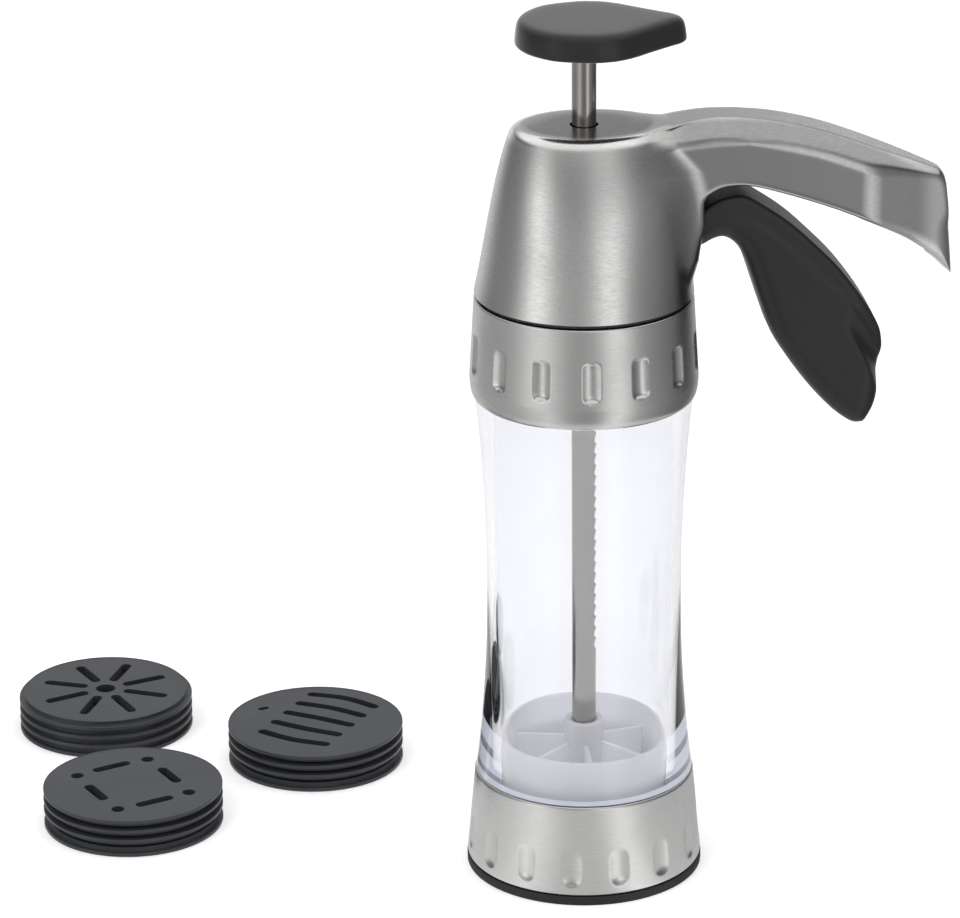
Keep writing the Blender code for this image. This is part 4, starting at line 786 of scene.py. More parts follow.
def fluted_ring(name, outline, bore, flute):
    """A ring: a fluted outer wall through the outline's points, and a plain bore."""
    angles = np.arange(RING_COLUMNS) * math.tau / RING_COLUMNS
    rows = []
    for radius, height in outline:
        reach = radius - flute_depth(angles, height, flute)
        rows.append(np.stack([reach * np.cos(angles), reach * np.sin(angles), angles * 0 + height], 1))
    for height in (outline[-1][1], outline[0][1]):
        rows.append(np.stack([bore * np.cos(angles), bore * np.sin(angles), angles * 0 + height], 1))
    mesh = bpy.data.meshes.new(name)
    columns = np.arange(RING_COLUMNS)
    after = (columns + 1) % RING_COLUMNS
    faces = []
    for row in range(len(rows)):
        here = row * RING_COLUMNS
        below = ((row + 1) % len(rows)) * RING_COLUMNS
        quads = np.stack([here + columns, below + columns, below + after, here + after], 1)
        faces += quads.tolist()
    mesh.from_pydata(np.concatenate(rows).tolist(), [], faces)
    return mesh


def fine_outline(profile, radius, rows):
    """An open outline with rounded corners and evenly spaced rows along its length."""
    soft = rounded(profile, radius)[CORNER_STEPS:-CORNER_STEPS]
    lengths = [0.0]
    for first, second in zip(soft, soft[1:]):
        lengths.append(lengths[-1] + (second - first).length)
    extra = np.linspace(0, lengths[-1], rows)
    places = np.unique(np.round(np.concatenate([lengths, extra]), 7))
    radii = np.interp(places, lengths, [point.x for point in soft])
    heights = np.interp(places, lengths, [point.y for point in soft])
    return list(zip(radii, heights))


print("ring columns:", RING_COLUMNS)

# %% Build the base collar
COLLAR_BORE = 27.6 * MM
base_low, base_high, base_foot_radius = size_of("base_collar")
BASE_TOP_RADIUS = 29.3 * MM
EDGE_ROUNDING = 0.8 * MM
COLLAR_ROWS = 70
BASE_FLUTES = {
    "count": 15, "turn": math.radians(17), "radius": 30.6 * MM, "width": 5.6 * MM, "length": 10.4 * MM,
    "middle": base_low + 7.5 * MM, "depth": 0.8 * MM, "squareness": 4.5,
}
base_outline = fine_outline([
    (COLLAR_BORE, base_high), (BASE_TOP_RADIUS, base_high), (base_foot_radius, base_low),
    (COLLAR_BORE, base_low)], EDGE_ROUNDING, COLLAR_ROWS)
set_piece(
    "base_collar_skin", fluted_ring("base_collar_skin", base_outline, COLLAR_BORE, BASE_FLUTES), "base",
    ["base_collar"], [TURNED_STEEL], sharp=30)
print("base collar rows:", len(base_outline))

# %% Build the upper collar
upper_low, upper_high, upper_bulge_radius = size_of("upper_collar")
UPPER_LOW_RADIUS = 28.9 * MM
UPPER_TOP_RADIUS = 28.8 * MM
BULGE_HEIGHT = 5.2 * MM
BULGE_STEPS = 10
UPPER_EDGE_ROUNDING = 0.4 * MM
UPPER_FLUTES = {
    "count": 14, "turn": math.radians(9.8), "radius": 29.6 * MM, "width": 5.0 * MM, "length": 10.8 * MM,
    "middle": upper_low + 12.9 * MM, "depth": 0.9 * MM, "squareness": 12.0,
}
upper_profile = [(COLLAR_BORE, upper_high), (UPPER_TOP_RADIUS, upper_high)]
for step in range(BULGE_STEPS + 1):
    turn = math.pi / 2 * step / BULGE_STEPS
    upper_profile.append((
        UPPER_LOW_RADIUS + (upper_bulge_radius - UPPER_LOW_RADIUS) * math.cos(turn),
        upper_low + BULGE_HEIGHT * (1 - math.sin(turn))))
upper_profile.append((COLLAR_BORE, upper_low))
upper_outline = fine_outline(upper_profile, UPPER_EDGE_ROUNDING, COLLAR_ROWS)
set_piece(
    "upper_collar_skin", fluted_ring("upper_collar_skin", upper_outline, COLLAR_BORE, UPPER_FLUTES),
    "barrel", ["upper_collar"], [TURNED_STEEL], sharp=30)
print("upper collar rows:", len(upper_outline))

# %% Build the rubber foot ring
foot_low, foot_high, foot_radius = size_of("foot_ring")
FOOT_HEIGHT = 2.4 * MM
FOOT_BORE = 23.0 * MM
RIB_LOW_RADIUS = 24.15 * MM
RIB_HIGH_RADIUS = 25.15 * MM
FOOT_ROUNDING = 0.35 * MM
foot_profile = rounded([
    (RIB_LOW_RADIUS, foot_high), (RIB_HIGH_RADIUS, foot_high), (RIB_HIGH_RADIUS, foot_low + FOOT_HEIGHT),
    (foot_radius, foot_low + FOOT_HEIGHT), (foot_radius, foot_low), (FOOT_BORE, foot_low),
    (FOOT_BORE, foot_low + FOOT_HEIGHT), (RIB_LOW_RADIUS, foot_low + FOOT_HEIGHT)], FOOT_ROUNDING)
set_piece(
    "foot_ring_skin", turned_mesh("foot_ring_skin", foot_profile), "base", ["foot_ring"], [RUBBER])
print("foot ring radius", round(foot_radius / MM, 1), "mm")

# %% [markdown]
# ## Shapes pulled onto a rule
#
# The head is one casting: an oval cone that flows into a long arm. No single
# loft makes that blend well. So the head is described as a rule instead, a
# function that is negative inside the metal and positive outside. A rough block
# is melted to small even faces with a voxel Remesh, and then every point of it
# is pulled onto the rule's zero. Soft minimum and maximum round the rule's
# corners, by as much as the real casting is rounded.

# %% Helpers for rules


def soft_max(first, second, rounding):
    """The larger of two rules, with the corner between them rounded."""
    share = np.clip(0.5 + (first - second) / (2 * rounding), 0, 1)
    return second + (first - second) * share + rounding * share * (1 - share)


def soft_min(first, second, rounding):
    """The smaller of two rules, with a fillet between them."""
    return -soft_max(-first, -second, rounding)


def smooth_line(points, steps=8, closed=False):
    """Points along a smooth curve through the given ones."""
    given = [Vector(point) for point in points]
    count = len(given)
    spans = count if closed else count - 1
    line = []
    for span in range(spans):
        if closed:
            a, b, c, d = (given[(span + shift) % count] for shift in (-1, 0, 1, 2))
        else:
            a, b, c, d = (given[min(max(span + shift, 0), count - 1)] for shift in (-1, 0, 1, 2))
        for step in range(steps):
            t = step / steps
            square = 2 * a - 5 * b + 4 * c - d
            cubic = 3 * b - a - 3 * c + d
            line.append(b + ((c - a) * t + square * t ** 2 + cubic * t ** 3) / 2)
    if not closed:
        line.append(given[-1])
    return np.array([tuple(point) for point in line])


def outline_distance(outline, across, up):
    """Distance from points to a closed outline, negative inside it."""
    near = np.full(across.shape, 1e9)
    inside = np.zeros(across.shape, bool)
    for (x0, z0), (x1, z1) in zip(outline, np.roll(outline, -1, 0)):
        run, rise = x1 - x0, z1 - z0
        length = max(run * run + rise * rise, 1e-18)
        t = np.clip(((across - x0) * run + (up - z0) * rise) / length, 0, 1)
        near = np.minimum(near, (across - x0 - t * run) ** 2 + (up - z0 - t * rise) ** 2)
        if z0 != z1:
            crosses = ((z0 > up) != (z1 > up)) & (across < run * (up - z0) / rise + x0)
            inside ^= crosses
    return np.where(inside, -1, 1) * np.sqrt(near)


def melted(name, rough, voxel):
    """A rough closed mesh, melted to even faces of about one voxel."""
    block = placed(name, rough)
    remesh = block.modifiers.new("Melt", "REMESH")
    remesh.mode = "VOXEL"
    remesh.voxel_size = voxel
    bpy.context.view_layer.update()
    depsgraph = bpy.context.evaluated_depsgraph_get()
    mesh = bpy.data.meshes.new_from_object(block.evaluated_get(depsgraph))
    bpy.data.objects.remove(block)
    mesh.name = name
    return mesh


def pulled(mesh, rule, passes=7, probe=0.02 * MM, reach=0.8 * MM):
    """Even out a mesh's points and move each along the rule's slope until the rule is zero."""
    points = np.zeros(len(mesh.vertices) * 3)
    mesh.vertices.foreach_get("co", points)
    points = points.reshape(-1, 3)
    ends = np.zeros(len(mesh.edges) * 2, int)
    mesh.edges.foreach_get("vertices", ends)
    ends = np.concatenate([ends.reshape(-1, 2), ends.reshape(-1, 2)[:, ::-1]])
    neighbours = np.bincount(ends[:, 0], minlength=len(points))[:, None]
    for turn in range(passes):
        if turn < passes - 2:
            total = [np.bincount(ends[:, 0], points[ends[:, 1], side], len(points)) for side in range(3)]
            points = (points + np.stack(total, 1) / neighbours) / 2
        value = rule(*points.T)
        slope = np.zeros_like(points)
        for side in range(3):
            ahead = points.copy()
            ahead[:, side] += probe
            slope[:, side] = (rule(*ahead.T) - value) / probe
        steepness = np.maximum((slope ** 2).sum(1), 0.05)
        step = -slope * (value / steepness)[:, None]
        length = np.linalg.norm(step, axis=1)
        points = points + step * np.minimum(1, reach / np.maximum(length, 1e-12))[:, None]
    mesh.vertices.foreach_set("co", points.ravel())
    mesh.update()
    return mesh


def ring_block(name, rings):
    """A rough closed block through rings of points."""
    work = bmesh.new()
    rows = [[work.verts.new(point) for point in ring] for ring in rings]
    count = len(rows[0])
    for lower, upper in zip(rows, rows[1:]):
        for index in range(count):
            after = (index + 1) % count
            work.faces.new((lower[index], lower[after], upper[after], upper[index]))
    work.faces.new(rows[0])
    work.faces.new(rows[-1])
    return finished(work, name)


def slab(name, near, far, corners=None):
    """A closed block between two rings of points. Faces with more corners than given are split."""
    work = bmesh.new()
    near = [work.verts.new(point) for point in near]
    far = [work.verts.new(point) for point in far]
    work.faces.new(near)
    work.faces.new(far)
    for index in range(len(near)):
        work.faces.new((near[index - 1], near[index], far[index], far[index - 1]))
    if corners:
        bmesh.ops.triangulate(work, faces=[face for face in work.faces if len(face.verts) > corners])
    return finished(work, name)


def joined(name, *meshes):
    """Several meshes as one."""
    work = bmesh.new()
    for mesh in meshes:
        work.from_mesh(mesh)
    return finished(work, name, outward=False)


print("rules ready")

# %% The head's rule
HEAD_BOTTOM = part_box("head_shell")[0].z
FACET_TOP = 45.1 * MM
FACET_ROUNDING = 2.4 * MM
# height above the head's lower edge, then reach to the left, to the right and half depth
HEAD_WALLS = np.array([
    (0.0, 28.8, 28.8, 28.8), (12.0, 26.4, 28.3, 25.9), (24.2, 24.3, 28.4, 22.7),
    (34.5, 22.0, 26.6, 19.2), (41.7, 20.0, 23.6, 16.6), (46.0, 18.6, 21.0, 14.6),
]) * MM
WALL_CURVES = [np.polyfit(HEAD_WALLS[:, 0], HEAD_WALLS[:, column], 3) for column in (1, 2, 3)]


def cone_rule(x, y, z):
    """The oval cone, cut off by a flat facet with a rounded rim."""
    height = np.clip(z - HEAD_BOTTOM, -6 * MM, 50 * MM)
    left, right, depth = (np.polyval(curve, height) for curve in WALL_CURVES)
    reach = np.where(x > 0, right, left)
    scaled = np.sqrt((x / reach) ** 2 + (y / depth) ** 2)
    squared = np.sqrt((x / reach ** 2) ** 2 + (y / depth ** 2) ** 2)
    wall = scaled * (scaled - 1) / np.maximum(squared, 1e-6)
    return soft_max(wall, z - HEAD_BOTTOM - FACET_TOP, FACET_ROUNDING)


print("wall curves:", len(WALL_CURVES))

# %% [markdown]
# ## The arm's section
#
# From the side the arm is a long hook. Across, it has a flat strip on top, then
# a narrow cove that reads as a dark line, then a full round shoulder that runs
# down into an upright side. Its lower edge is nearly sharp. So the corner
# between top and side is rounded by much above and by little below.

# %% The arm's rule
ARM_REACH = 96.5 * MM
ARM_RISE = 47.5 * MM
ARM_HALF_WIDTH = 10.2 * MM
ARM_TOP_SHARES = (
    (0.124, 0.900), (0.200, 0.945), (0.275, 0.975), (0.350, 0.990), (0.432, 0.982), (0.535, 0.951),
    (0.659, 0.884), (0.814, 0.763), (0.906, 0.686), (0.953, 0.644),
)
ARM_TIP_SHARES = (
    (0.967, 0.626), (0.977, 0.600), (0.983, 0.560), (0.990, 0.440), (1.001, 0.200), (1.008, 0.028),
    (1.004, 0.008), (0.994, 0.030),
)
ARM_LOW_SHARES = (
    (0.950, 0.120), (0.900, 0.204), (0.844, 0.286), (0.721, 0.427), (0.597, 0.526), (0.484, 0.600),
    (0.440, 0.621), (0.412, 0.628), (0.377, 0.625), (0.353, 0.612), (0.332, 0.588), (0.318, 0.561),
    (0.312, 0.530), (0.311, 0.460), (0.312, 0.400), (0.308, 0.350), (0.300, 0.280), (0.290, 0.200),
    (0.280, 0.130), (0.266, 0.060), (0.250, 0.000), (0.124, -0.020),
)
# distance along the arm, and the height above the head's lower edge where its section is widest
ARM_MIDDLES = np.array([
    (12.0, 38.0), (31.0, 39.0), (42.0, 40.0), (60.0, 35.3), (75.0, 29.4), (96.0, 17.0),
]) * MM
TAPER_START = 71 * MM
TAPER_FULL = 77 * MM
TAPER_SLOPE = 0.33
# distance along the arm, and the half width of its flat top there
FACET_WIDTHS = np.array([
    (10.0, 11.0), (14.0, 10.0), (18.0, 7.6), (26.0, 5.4), (35.0, 4.3), (48.0, 5.0), (60.0, 5.4), (77.0, 4.8),
    (87.0, 2.9), (92.0, 1.8), (97.0, 0.8),
]) * MM
COVE_WIDTH = 2.4 * MM
COVE_DROP = 1.0 * MM
COVE_START = 16 * MM
COVE_FULL = 28 * MM
SHOULDER_ROUNDING = 6.2 * MM
LOWER_ROUNDING = 1.5 * MM
ROOT_ROUNDING = 4.2 * MM
ROOT_FULL = 12 * MM
ROOT_END = 22 * MM
ROUNDING_SPAN = 3 * MM
# height above the head's lower edge, and how wide the fillet between cone and arm is there
ARM_BLENDS = np.array([(0.0, 0.6), (4.0, 2.5), (10.0, 6.0), (34.0, 6.0), (44.0, 2.0)]) * MM
ARM_START = 4 * MM
FAR = 1.0


def smooth_share(value, start, full):
    """A smooth rise from 0 to 1 between two values."""
    share = np.clip((value - start) / (full - start), 0, 1)
    return share * share * (3 - 2 * share)


def arm_points(shares):
    return [(ARM_REACH * across, HEAD_BOTTOM + ARM_RISE * up) for across, up in shares]


ARM_OUTLINE = np.concatenate([
    smooth_line(arm_points(ARM_TOP_SHARES + ARM_TIP_SHARES[:2]), 4),
    smooth_line(arm_points(ARM_TIP_SHARES[2:]), 2),
    smooth_line(arm_points(ARM_LOW_SHARES), 3),
])


def arm_half(x):
    """Half the arm's width, which tapers towards the tip after a short bend."""
    bend = np.clip(x, TAPER_START, TAPER_FULL) - TAPER_START
    lost = bend ** 2 / (2 * (TAPER_FULL - TAPER_START)) + np.maximum(x - TAPER_FULL, 0)
    return ARM_HALF_WIDTH - TAPER_SLOPE * lost


def arm_rule(x, y, z):
    """The hook's outline against its sides, with the cove cut along its top."""
    flat = np.interp(x, FACET_WIDTHS[:, 0], FACET_WIDTHS[:, 1])
    cove = smooth_share(np.abs(y), flat, flat + COVE_WIDTH) * smooth_share(x, COVE_START, COVE_FULL)
    drop = COVE_DROP * cove
    middle = HEAD_BOTTOM + np.interp(x, ARM_MIDDLES[:, 0], ARM_MIDDLES[:, 1])
    high = smooth_share(z, middle - ROUNDING_SPAN, middle + ROUNDING_SPAN)
    side = outline_distance(ARM_OUTLINE, x, z + drop * high)
    half = arm_half(x)
    upper_rounding = SHOULDER_ROUNDING * (half / ARM_HALF_WIDTH) ** 1.5
    above_root = smooth_share(z - HEAD_BOTTOM, ROOT_FULL, ROOT_END)
    low_rounding = ROOT_ROUNDING + (LOWER_ROUNDING - ROOT_ROUNDING) * above_root
    rounding = low_rounding + (upper_rounding - low_rounding) * high
    return soft_max(side, np.abs(y) - half, rounding)


def head_rule(x, y, z):
    """The cone and the arm, with a soft fillet where they meet."""
    arm = np.full(x.shape, FAR)
    near = x > ARM_START
    arm[near] = arm_rule(x[near], y[near], z[near])
    blend = np.interp(z - HEAD_BOTTOM, ARM_BLENDS[:, 0], ARM_BLENDS[:, 1])
    return soft_min(cone_rule(x, y, z), arm, blend)


print("arm outline points:", len(ARM_OUTLINE))

# %% Melt the head and pull it onto its rule
HEAD_VOXEL = 0.5 * MM
HEAD_WALL = 1.5 * MM
CUT_OVERRUN = 6 * MM
ROD_HOLE_RADIUS = 3.75 * MM
ARM_TOP_WALL = 1.6 * MM
ARM_TIP_WALL = 2.4 * MM
ARM_SIDE_WALL = 1.4 * MM
HOLLOW_SHOULDER = 5.0 * MM
SILL_DROP = 5.8 * MM
SILL_REACH = 34 * MM
pivot = (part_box("lever_pin")[0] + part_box("lever_pin")[1]) / 2
PIVOT_X = pivot.x - AXIS_X
PIVOT_Z = pivot.z


def head_block():
    """A rough oval block for the cone; the rough arm is made apart and overlaps it."""
    cone = []
    for height in np.linspace(-4 * MM, FACET_TOP, 10):
        left, right, depth = (np.polyval(curve, height) for curve in WALL_CURVES)
        ring = []
        for step in range(48):
            angle = math.tau * step / 48
            reach = right if math.cos(angle) > 0 else left
            ring.append((reach * math.cos(angle), depth * math.sin(angle), HEAD_BOTTOM + height))
        cone.append(ring)
    return ring_block("cone", cone)


def arm_block():
    near, far = ([(x, side * arm_half(x), z) for x, z in ARM_OUTLINE] for side in (-1, 1))
    return slab("arm", near, far, corners=3)


rough_head = joined("rough", head_block(), arm_block())
head_mesh = pulled(melted("steel_head", rough_head, HEAD_VOXEL), head_rule)
print("head points:", len(head_mesh.vertices))

# %% [markdown]
# ## Hollowing the head
#
# The casting is a shell. The lever swings up into its arm, and the frame sits
# in its cone, so both are open below. The inside follows the same curves, drawn
# in by the wall's thickness. Booleans trim the lower edge to a clean line over
# the seam, and cut out the two hollows and the hole for the rod.

# %% Hollow the head
TRIM_REACH = 60 * MM
TRIM_DEPTH = 20 * MM
CROWN_START = 0.86
CROWN_SHRINK = 0.22
HOLE_STEPS = 64


def combined(mesh, operation, others):
    """A mesh after a Boolean with each of the others."""
    piece = placed("combining", mesh)
    added = []
    for other in others:
        extra = placed("extra", other)
        added.append(extra)
        boolean = piece.modifiers.new("Boolean", "BOOLEAN")
        boolean.operation = operation
        boolean.solver = "MANIFOLD"
        boolean.object = extra
    bpy.context.view_layer.update()
    depsgraph = bpy.context.evaluated_depsgraph_get()
    result = bpy.data.meshes.new_from_object(piece.evaluated_get(depsgraph))
    result.name = mesh.name
    for leftover in [piece, *added]:
        bpy.data.objects.remove(leftover)
    return result


def box_mesh(name, low, high):
    """A box between two corners."""
    work = bmesh.new()
    low, high = Vector(low), Vector(high)
    matrix = Matrix.Translation((low + high) / 2) @ Matrix.Diagonal((*(high - low), 1.0))
    bmesh.ops.create_cube(work, size=1.0, matrix=matrix)
    return finished(work, name, outward=False)


def cone_hollow():
    """The inside of the cone, a wall's thickness in, and open below."""
    rings = []
    for height in np.linspace(-CUT_OVERRUN, FACET_TOP - HEAD_WALL, 24):
        left, right, depth = (np.polyval(curve, max(height, 0.0)) - HEAD_WALL for curve in WALL_CURVES)
        crown = max(0.0, (height - CROWN_START * FACET_TOP) / ((1 - CROWN_START) * FACET_TOP))
        shrink = 1 - CROWN_SHRINK * crown ** 2
        ring = []
        for step in range(96):
            angle = math.tau * step / 96
            reach = (right if math.cos(angle) > 0 else left) * shrink
            ring.append((reach * math.cos(angle), depth * shrink * math.sin(angle), HEAD_BOTTOM + height))
        rings.append(ring)
    return ring_block("cone_hollow", rings)


def arm_hollow():
    """The channel under the arm, open below, and the lever's window down to its sill."""
    top = [(x - ARM_TIP_WALL * (x / ARM_REACH) ** 4, z - ARM_TOP_WALL)
           for x, z in smooth_line(arm_points(ARM_TOP_SHARES[1:]), 4)]
    low = [(x - ARM_TIP_WALL * (x / ARM_REACH) ** 4, z - CUT_OVERRUN)
           for x, z in smooth_line(arm_points(ARM_LOW_SHARES[:10]), 4) if x > SILL_REACH]
    sill = PIVOT_Z - SILL_DROP
    outline = top + low + [(SILL_REACH, sill), (top[0][0], sill)]
    work = bmesh.new()
    sides = []
    for share, drop in ((-1, HOLLOW_SHOULDER), (-0.5, COVE_DROP), (0.5, COVE_DROP), (1, HOLLOW_SHOULDER)):
        side = []
        for index, (x, z) in enumerate(outline):
            height = z - (drop if index < len(top) else 0.0)
            side.append(work.verts.new((x, share * (arm_half(x) - ARM_SIDE_WALL), height)))
        sides.append(side)
    for first, second in zip(sides, sides[1:]):
        for index in range(len(outline)):
            work.faces.new((first[index - 1], first[index], second[index], second[index - 1]))
    work.faces.new(sides[0])
    work.faces.new(sides[-1])
    bmesh.ops.triangulate(work, faces=[face for face in work.faces if len(face.verts) > 4])
    return finished(work, "arm_hollow")


def cylinder(name, radius, low, high):
    """A plain round cutter on the axis."""
    return turned_mesh(name, [(0.0, high), (radius, high), (radius, low), (0.0, low)], steps=HOLE_STEPS)


facet_height = HEAD_BOTTOM + FACET_TOP
rod_hole = cylinder("rod_hole", ROD_HOLE_RADIUS, facet_height - CUT_OVERRUN, facet_height + CUT_OVERRUN)
trim = box_mesh(
    "trim", (-TRIM_REACH, -TRIM_REACH, HEAD_BOTTOM - TRIM_DEPTH), (TRIM_REACH, TRIM_REACH, HEAD_BOTTOM))
head_mesh = combined(head_mesh, "DIFFERENCE", [trim, cone_hollow(), arm_hollow(), rod_hole])
print("hollow head points:", len(head_mesh.vertices))

# %% Finish the head
head = set_piece("steel_head", head_mesh, "head", ["head_shell"], [HEAD_STEEL], sharp=50)
print("head faces:", len(head.data.polygons))

# %% [markdown]
# ## The lever
#
# The lever is stiff plastic with a soft black cover, moulded over it. Its side
# view is a long leaf, and its edges are well rounded. It is made as the head
# was: a plate is melted, then pulled onto a rule with soft corners. A thin step
# near its upper edge is the line where the mould's halves met. The far end is
# narrower, where a full squeeze takes the lever into the arm's narrow tip.

# %% Build the lever grip
LEVER_REACH = 59.0 * MM
LEVER_DROP = 53.9 * MM
LEVER_HALF_WIDTH = 8.2 * MM
LEVER_ROUNDING = 5.2 * MM
LEVER_TOP_ROUNDING = 1.4 * MM
LEVER_TRAVEL = math.radians(28)
LEVER_CLEARANCE = 0.5 * MM
LEVER_BLEND = 2.5 * MM
LEVER_VOXEL = 0.6 * MM
LEVER_SHARES = (
    (0.125, 0.020), (0.128, 0.085), (0.185, 0.140), (0.243, 0.178), (0.310, 0.200), (0.374, 0.197),
    (0.466, 0.137), (0.575, 0.051), (0.683, -0.060), (0.794, -0.188), (0.906, -0.356), (0.977, -0.497),
    (0.997, -0.572), (1.000, -0.648), (0.986, -0.771), (0.968, -0.896), (0.927, -0.985), (0.896, -1.000),
    (0.855, -0.992), (0.790, -0.941), (0.720, -0.864), (0.646, -0.767), (0.571, -0.652), (0.496, -0.518),
    (0.449, -0.380), (0.407, -0.240), (0.376, -0.140), (0.343, -0.068), (0.300, -0.026), (0.265, -0.016),
    (0.226, -0.028), (0.185, -0.052), (0.135, -0.060),
)
# the line where the mould's halves met
SEAM_SHARES = (
    (0.100, -0.030), (0.179, 0.012), (0.245, 0.060), (0.307, 0.088), (0.387, 0.074), (0.458, 0.025),
    (0.566, -0.071), (0.638, -0.146), (0.711, -0.231), (0.816, -0.343), (0.900, -0.470), (0.970, -0.610),
    (1.040, -0.760),
)
SEAM_FAR_SHARES = ((1.500, -0.760), (1.500, 0.800), (0.100, 0.800))
SEAM_STEP = 0.35 * MM
SEAM_WIDTH = 0.7 * MM


def lever_points(shares):
    return [(PIVOT_X + LEVER_REACH * across, PIVOT_Z + LEVER_DROP * up) for across, up in shares]


LEVER_OUTLINE = smooth_line(lever_points(LEVER_SHARES), 4, closed=True)
SEAM_REGION = np.concatenate([smooth_line(lever_points(SEAM_SHARES), 3), lever_points(SEAM_FAR_SHARES)])


def lever_half(x, z):
    """Half the leaf's width, less where a full squeeze takes it into the arm's narrow tip."""
    across, up = x - PIVOT_X, z - PIVOT_Z
    swung_x = PIVOT_X + across * math.cos(LEVER_TRAVEL) - up * math.sin(LEVER_TRAVEL)
    swung_z = PIVOT_Z + across * math.sin(LEVER_TRAVEL) + up * math.cos(LEVER_TRAVEL)
    within = smooth_share(-outline_distance(ARM_OUTLINE, swung_x, swung_z), -LEVER_BLEND, 0)
    room = arm_half(swung_x) - ARM_SIDE_WALL - LEVER_CLEARANCE
    return LEVER_HALF_WIDTH - within * np.maximum(LEVER_HALF_WIDTH - room, 0)


def lever_rule(x, y, z):
    """The leaf's outline against its faces, which step in above the seam."""
    side = outline_distance(LEVER_OUTLINE, x, z)
    above = -outline_distance(SEAM_REGION, x, z)
    fall = SEAM_STEP * smooth_share(above, 0, SEAM_WIDTH)
    upper = smooth_share(above, -2 * SEAM_WIDTH, 2 * SEAM_WIDTH)
    rounding = LEVER_ROUNDING + (LEVER_TOP_ROUNDING - LEVER_ROUNDING) * upper
    return soft_max(side, np.abs(y) - lever_half(x, z) + fall, rounding)


def plate_block(name, outline, half_width):
    """An outline in the upright plane through the arm, thickened to both sides."""
    near, far = ([(x, side * half_width, z) for x, z in outline] for side in (-1, 1))
    return slab(name, near, far, corners=4)


lever_mesh = melted("lever_cover", plate_block("lever", LEVER_OUTLINE, LEVER_HALF_WIDTH), LEVER_VOXEL)
lever_mesh = pulled(lever_mesh, lever_rule)
set_piece("lever_cover", lever_mesh, "lever", ["lever_grip"], [SOFT_BLACK], sharp=70)
print("lever points:", len(lever_mesh.vertices))

# %% [markdown]
# ## The knob
#
# The knob is a soft black cap shaped like a rounded pick, with its point
# towards the arm. Its top is nearly flat, its side leans out a little towards
# the lower edge, and both edges are rounded. A loft through a stack of outlines
# makes it, each one drawn in as the rounding asks.

# %% Build the knob
knob_low, knob_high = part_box("knob")
KNOB_LONG = knob_high.x - AXIS_X
KNOB_SHORT = AXIS_X - knob_low.x
KNOB_DEPTH = (knob_high.y - knob_low.y) / 2
KNOB_HEIGHT = knob_high.z - knob_low.z
POCKET_RADIUS = 8.3 * MM
POCKET_DEPTH = 3.7 * MM
POCKET_OVERRUN = 2 * MM
KNOB_SHARES = (
    (-1.000, 0.000), (-0.950, 0.300), (-0.800, 0.590), (-0.500, 0.865), (0.000, 1.000), (0.180, 0.985),
    (0.300, 0.930), (0.450, 0.790), (0.620, 0.570), (0.830, 0.310), (0.960, 0.150), (1.000, 0.000),
)
# height share and how far the outline is drawn in, in millimetres
KNOB_LAYERS = (
    (0.00, 3.00), (0.00, 1.00), (0.03, 0.45), (0.08, 0.12), (0.15, 0.00), (0.35, 0.10), (0.55, 0.24),
    (0.68, 0.38), (0.78, 0.55), (0.86, 0.82), (0.92, 1.15), (0.96, 1.60), (0.985, 2.30), (0.996, 3.30),
    (1.00, 5.50), (1.00, 9.00),
)


def knob_outline():
    """The pick's outline, from the short end round both sides."""
    half = []
    for along, depth in KNOB_SHARES:
        half.append(((KNOB_LONG if along > 0 else KNOB_SHORT) * along, KNOB_DEPTH * depth))
    whole = half + [(x, -y) for x, y in half[-2:0:-1]]
    return smooth_line(whole, 6, closed=True)


outline = knob_outline()
rings = []
for share, inset in KNOB_LAYERS:
    scale = 1 - inset * MM / KNOB_DEPTH
    rings.append([(x * scale, y * scale, knob_low.z + KNOB_HEIGHT * share) for x, y in outline])
knob_mesh = ring_block("knob_cover", rings)
pocket = cylinder("knob_pocket", POCKET_RADIUS, knob_low.z - POCKET_OVERRUN, knob_low.z + POCKET_DEPTH)
knob_mesh = combined(knob_mesh, "DIFFERENCE", [pocket])
set_piece("knob_cover", knob_mesh, "rod", ["knob"], [KNOB_BLACK], sharp=50)
print("knob", round((KNOB_LONG + KNOB_SHORT) / MM, 1), "mm long")

# %% [markdown]
# ## The ratchet rod
#
# The rod is bright steel with a row of saw teeth filed into the side that faces
# the lever. Each tooth has a flat ledge that the pawl pushes down, and a ramp
# that it slides back over. The rod is a grid round the axis, and each ring of
# it is clipped flat on that side, as deep as the tooth is at that height.

# %% Build the rod
rod_low, rod_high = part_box("rod")
ROD_RADIUS = 3.2 * MM
TOOTH_PITCH = 3.2 * MM
TOOTH_DEPTH = 0.7 * MM
TOOTH_COUNT = 36
TEETH_TOP = 176.2 * MM
ROD_COLUMNS = 96


def rod_rows():
    """Heights of the rod's rings, from the top down, and how deep the tooth is there."""
    rows = [(rod_high.z, 0.0), (TEETH_TOP + 0.02 * MM, 0.0)]
    for index in range(TOOTH_COUNT):
        ledge = TEETH_TOP - TOOTH_PITCH * (index + 1)
        rows += [
            (ledge + TOOTH_PITCH - 0.01 * MM, 0.0), (ledge + TOOTH_PITCH * 0.3, TOOTH_DEPTH),
            (ledge + 0.05 * MM, TOOTH_DEPTH), (ledge, 0.0)]
    rows += [(rod_low.z + 1.0 * MM, 0.0), (rod_low.z, 0.0)]
    return rows


def rod_mesh():
    angles = np.arange(ROD_COLUMNS) * math.tau / ROD_COLUMNS
    rings = []
    for height, depth in rod_rows():
        x = np.minimum(ROD_RADIUS * np.cos(angles), ROD_RADIUS - depth)
        y = ROD_RADIUS * np.sin(angles)
        rings.append([(a, b, height) for a, b in zip(x, y)])
    return ring_block("ratchet_rod", rings)


set_piece("ratchet_rod", rod_mesh(), "rod", ["rod"], [ROD_STEEL], sharp=30)
print("rod with", TOOTH_COUNT, "teeth")

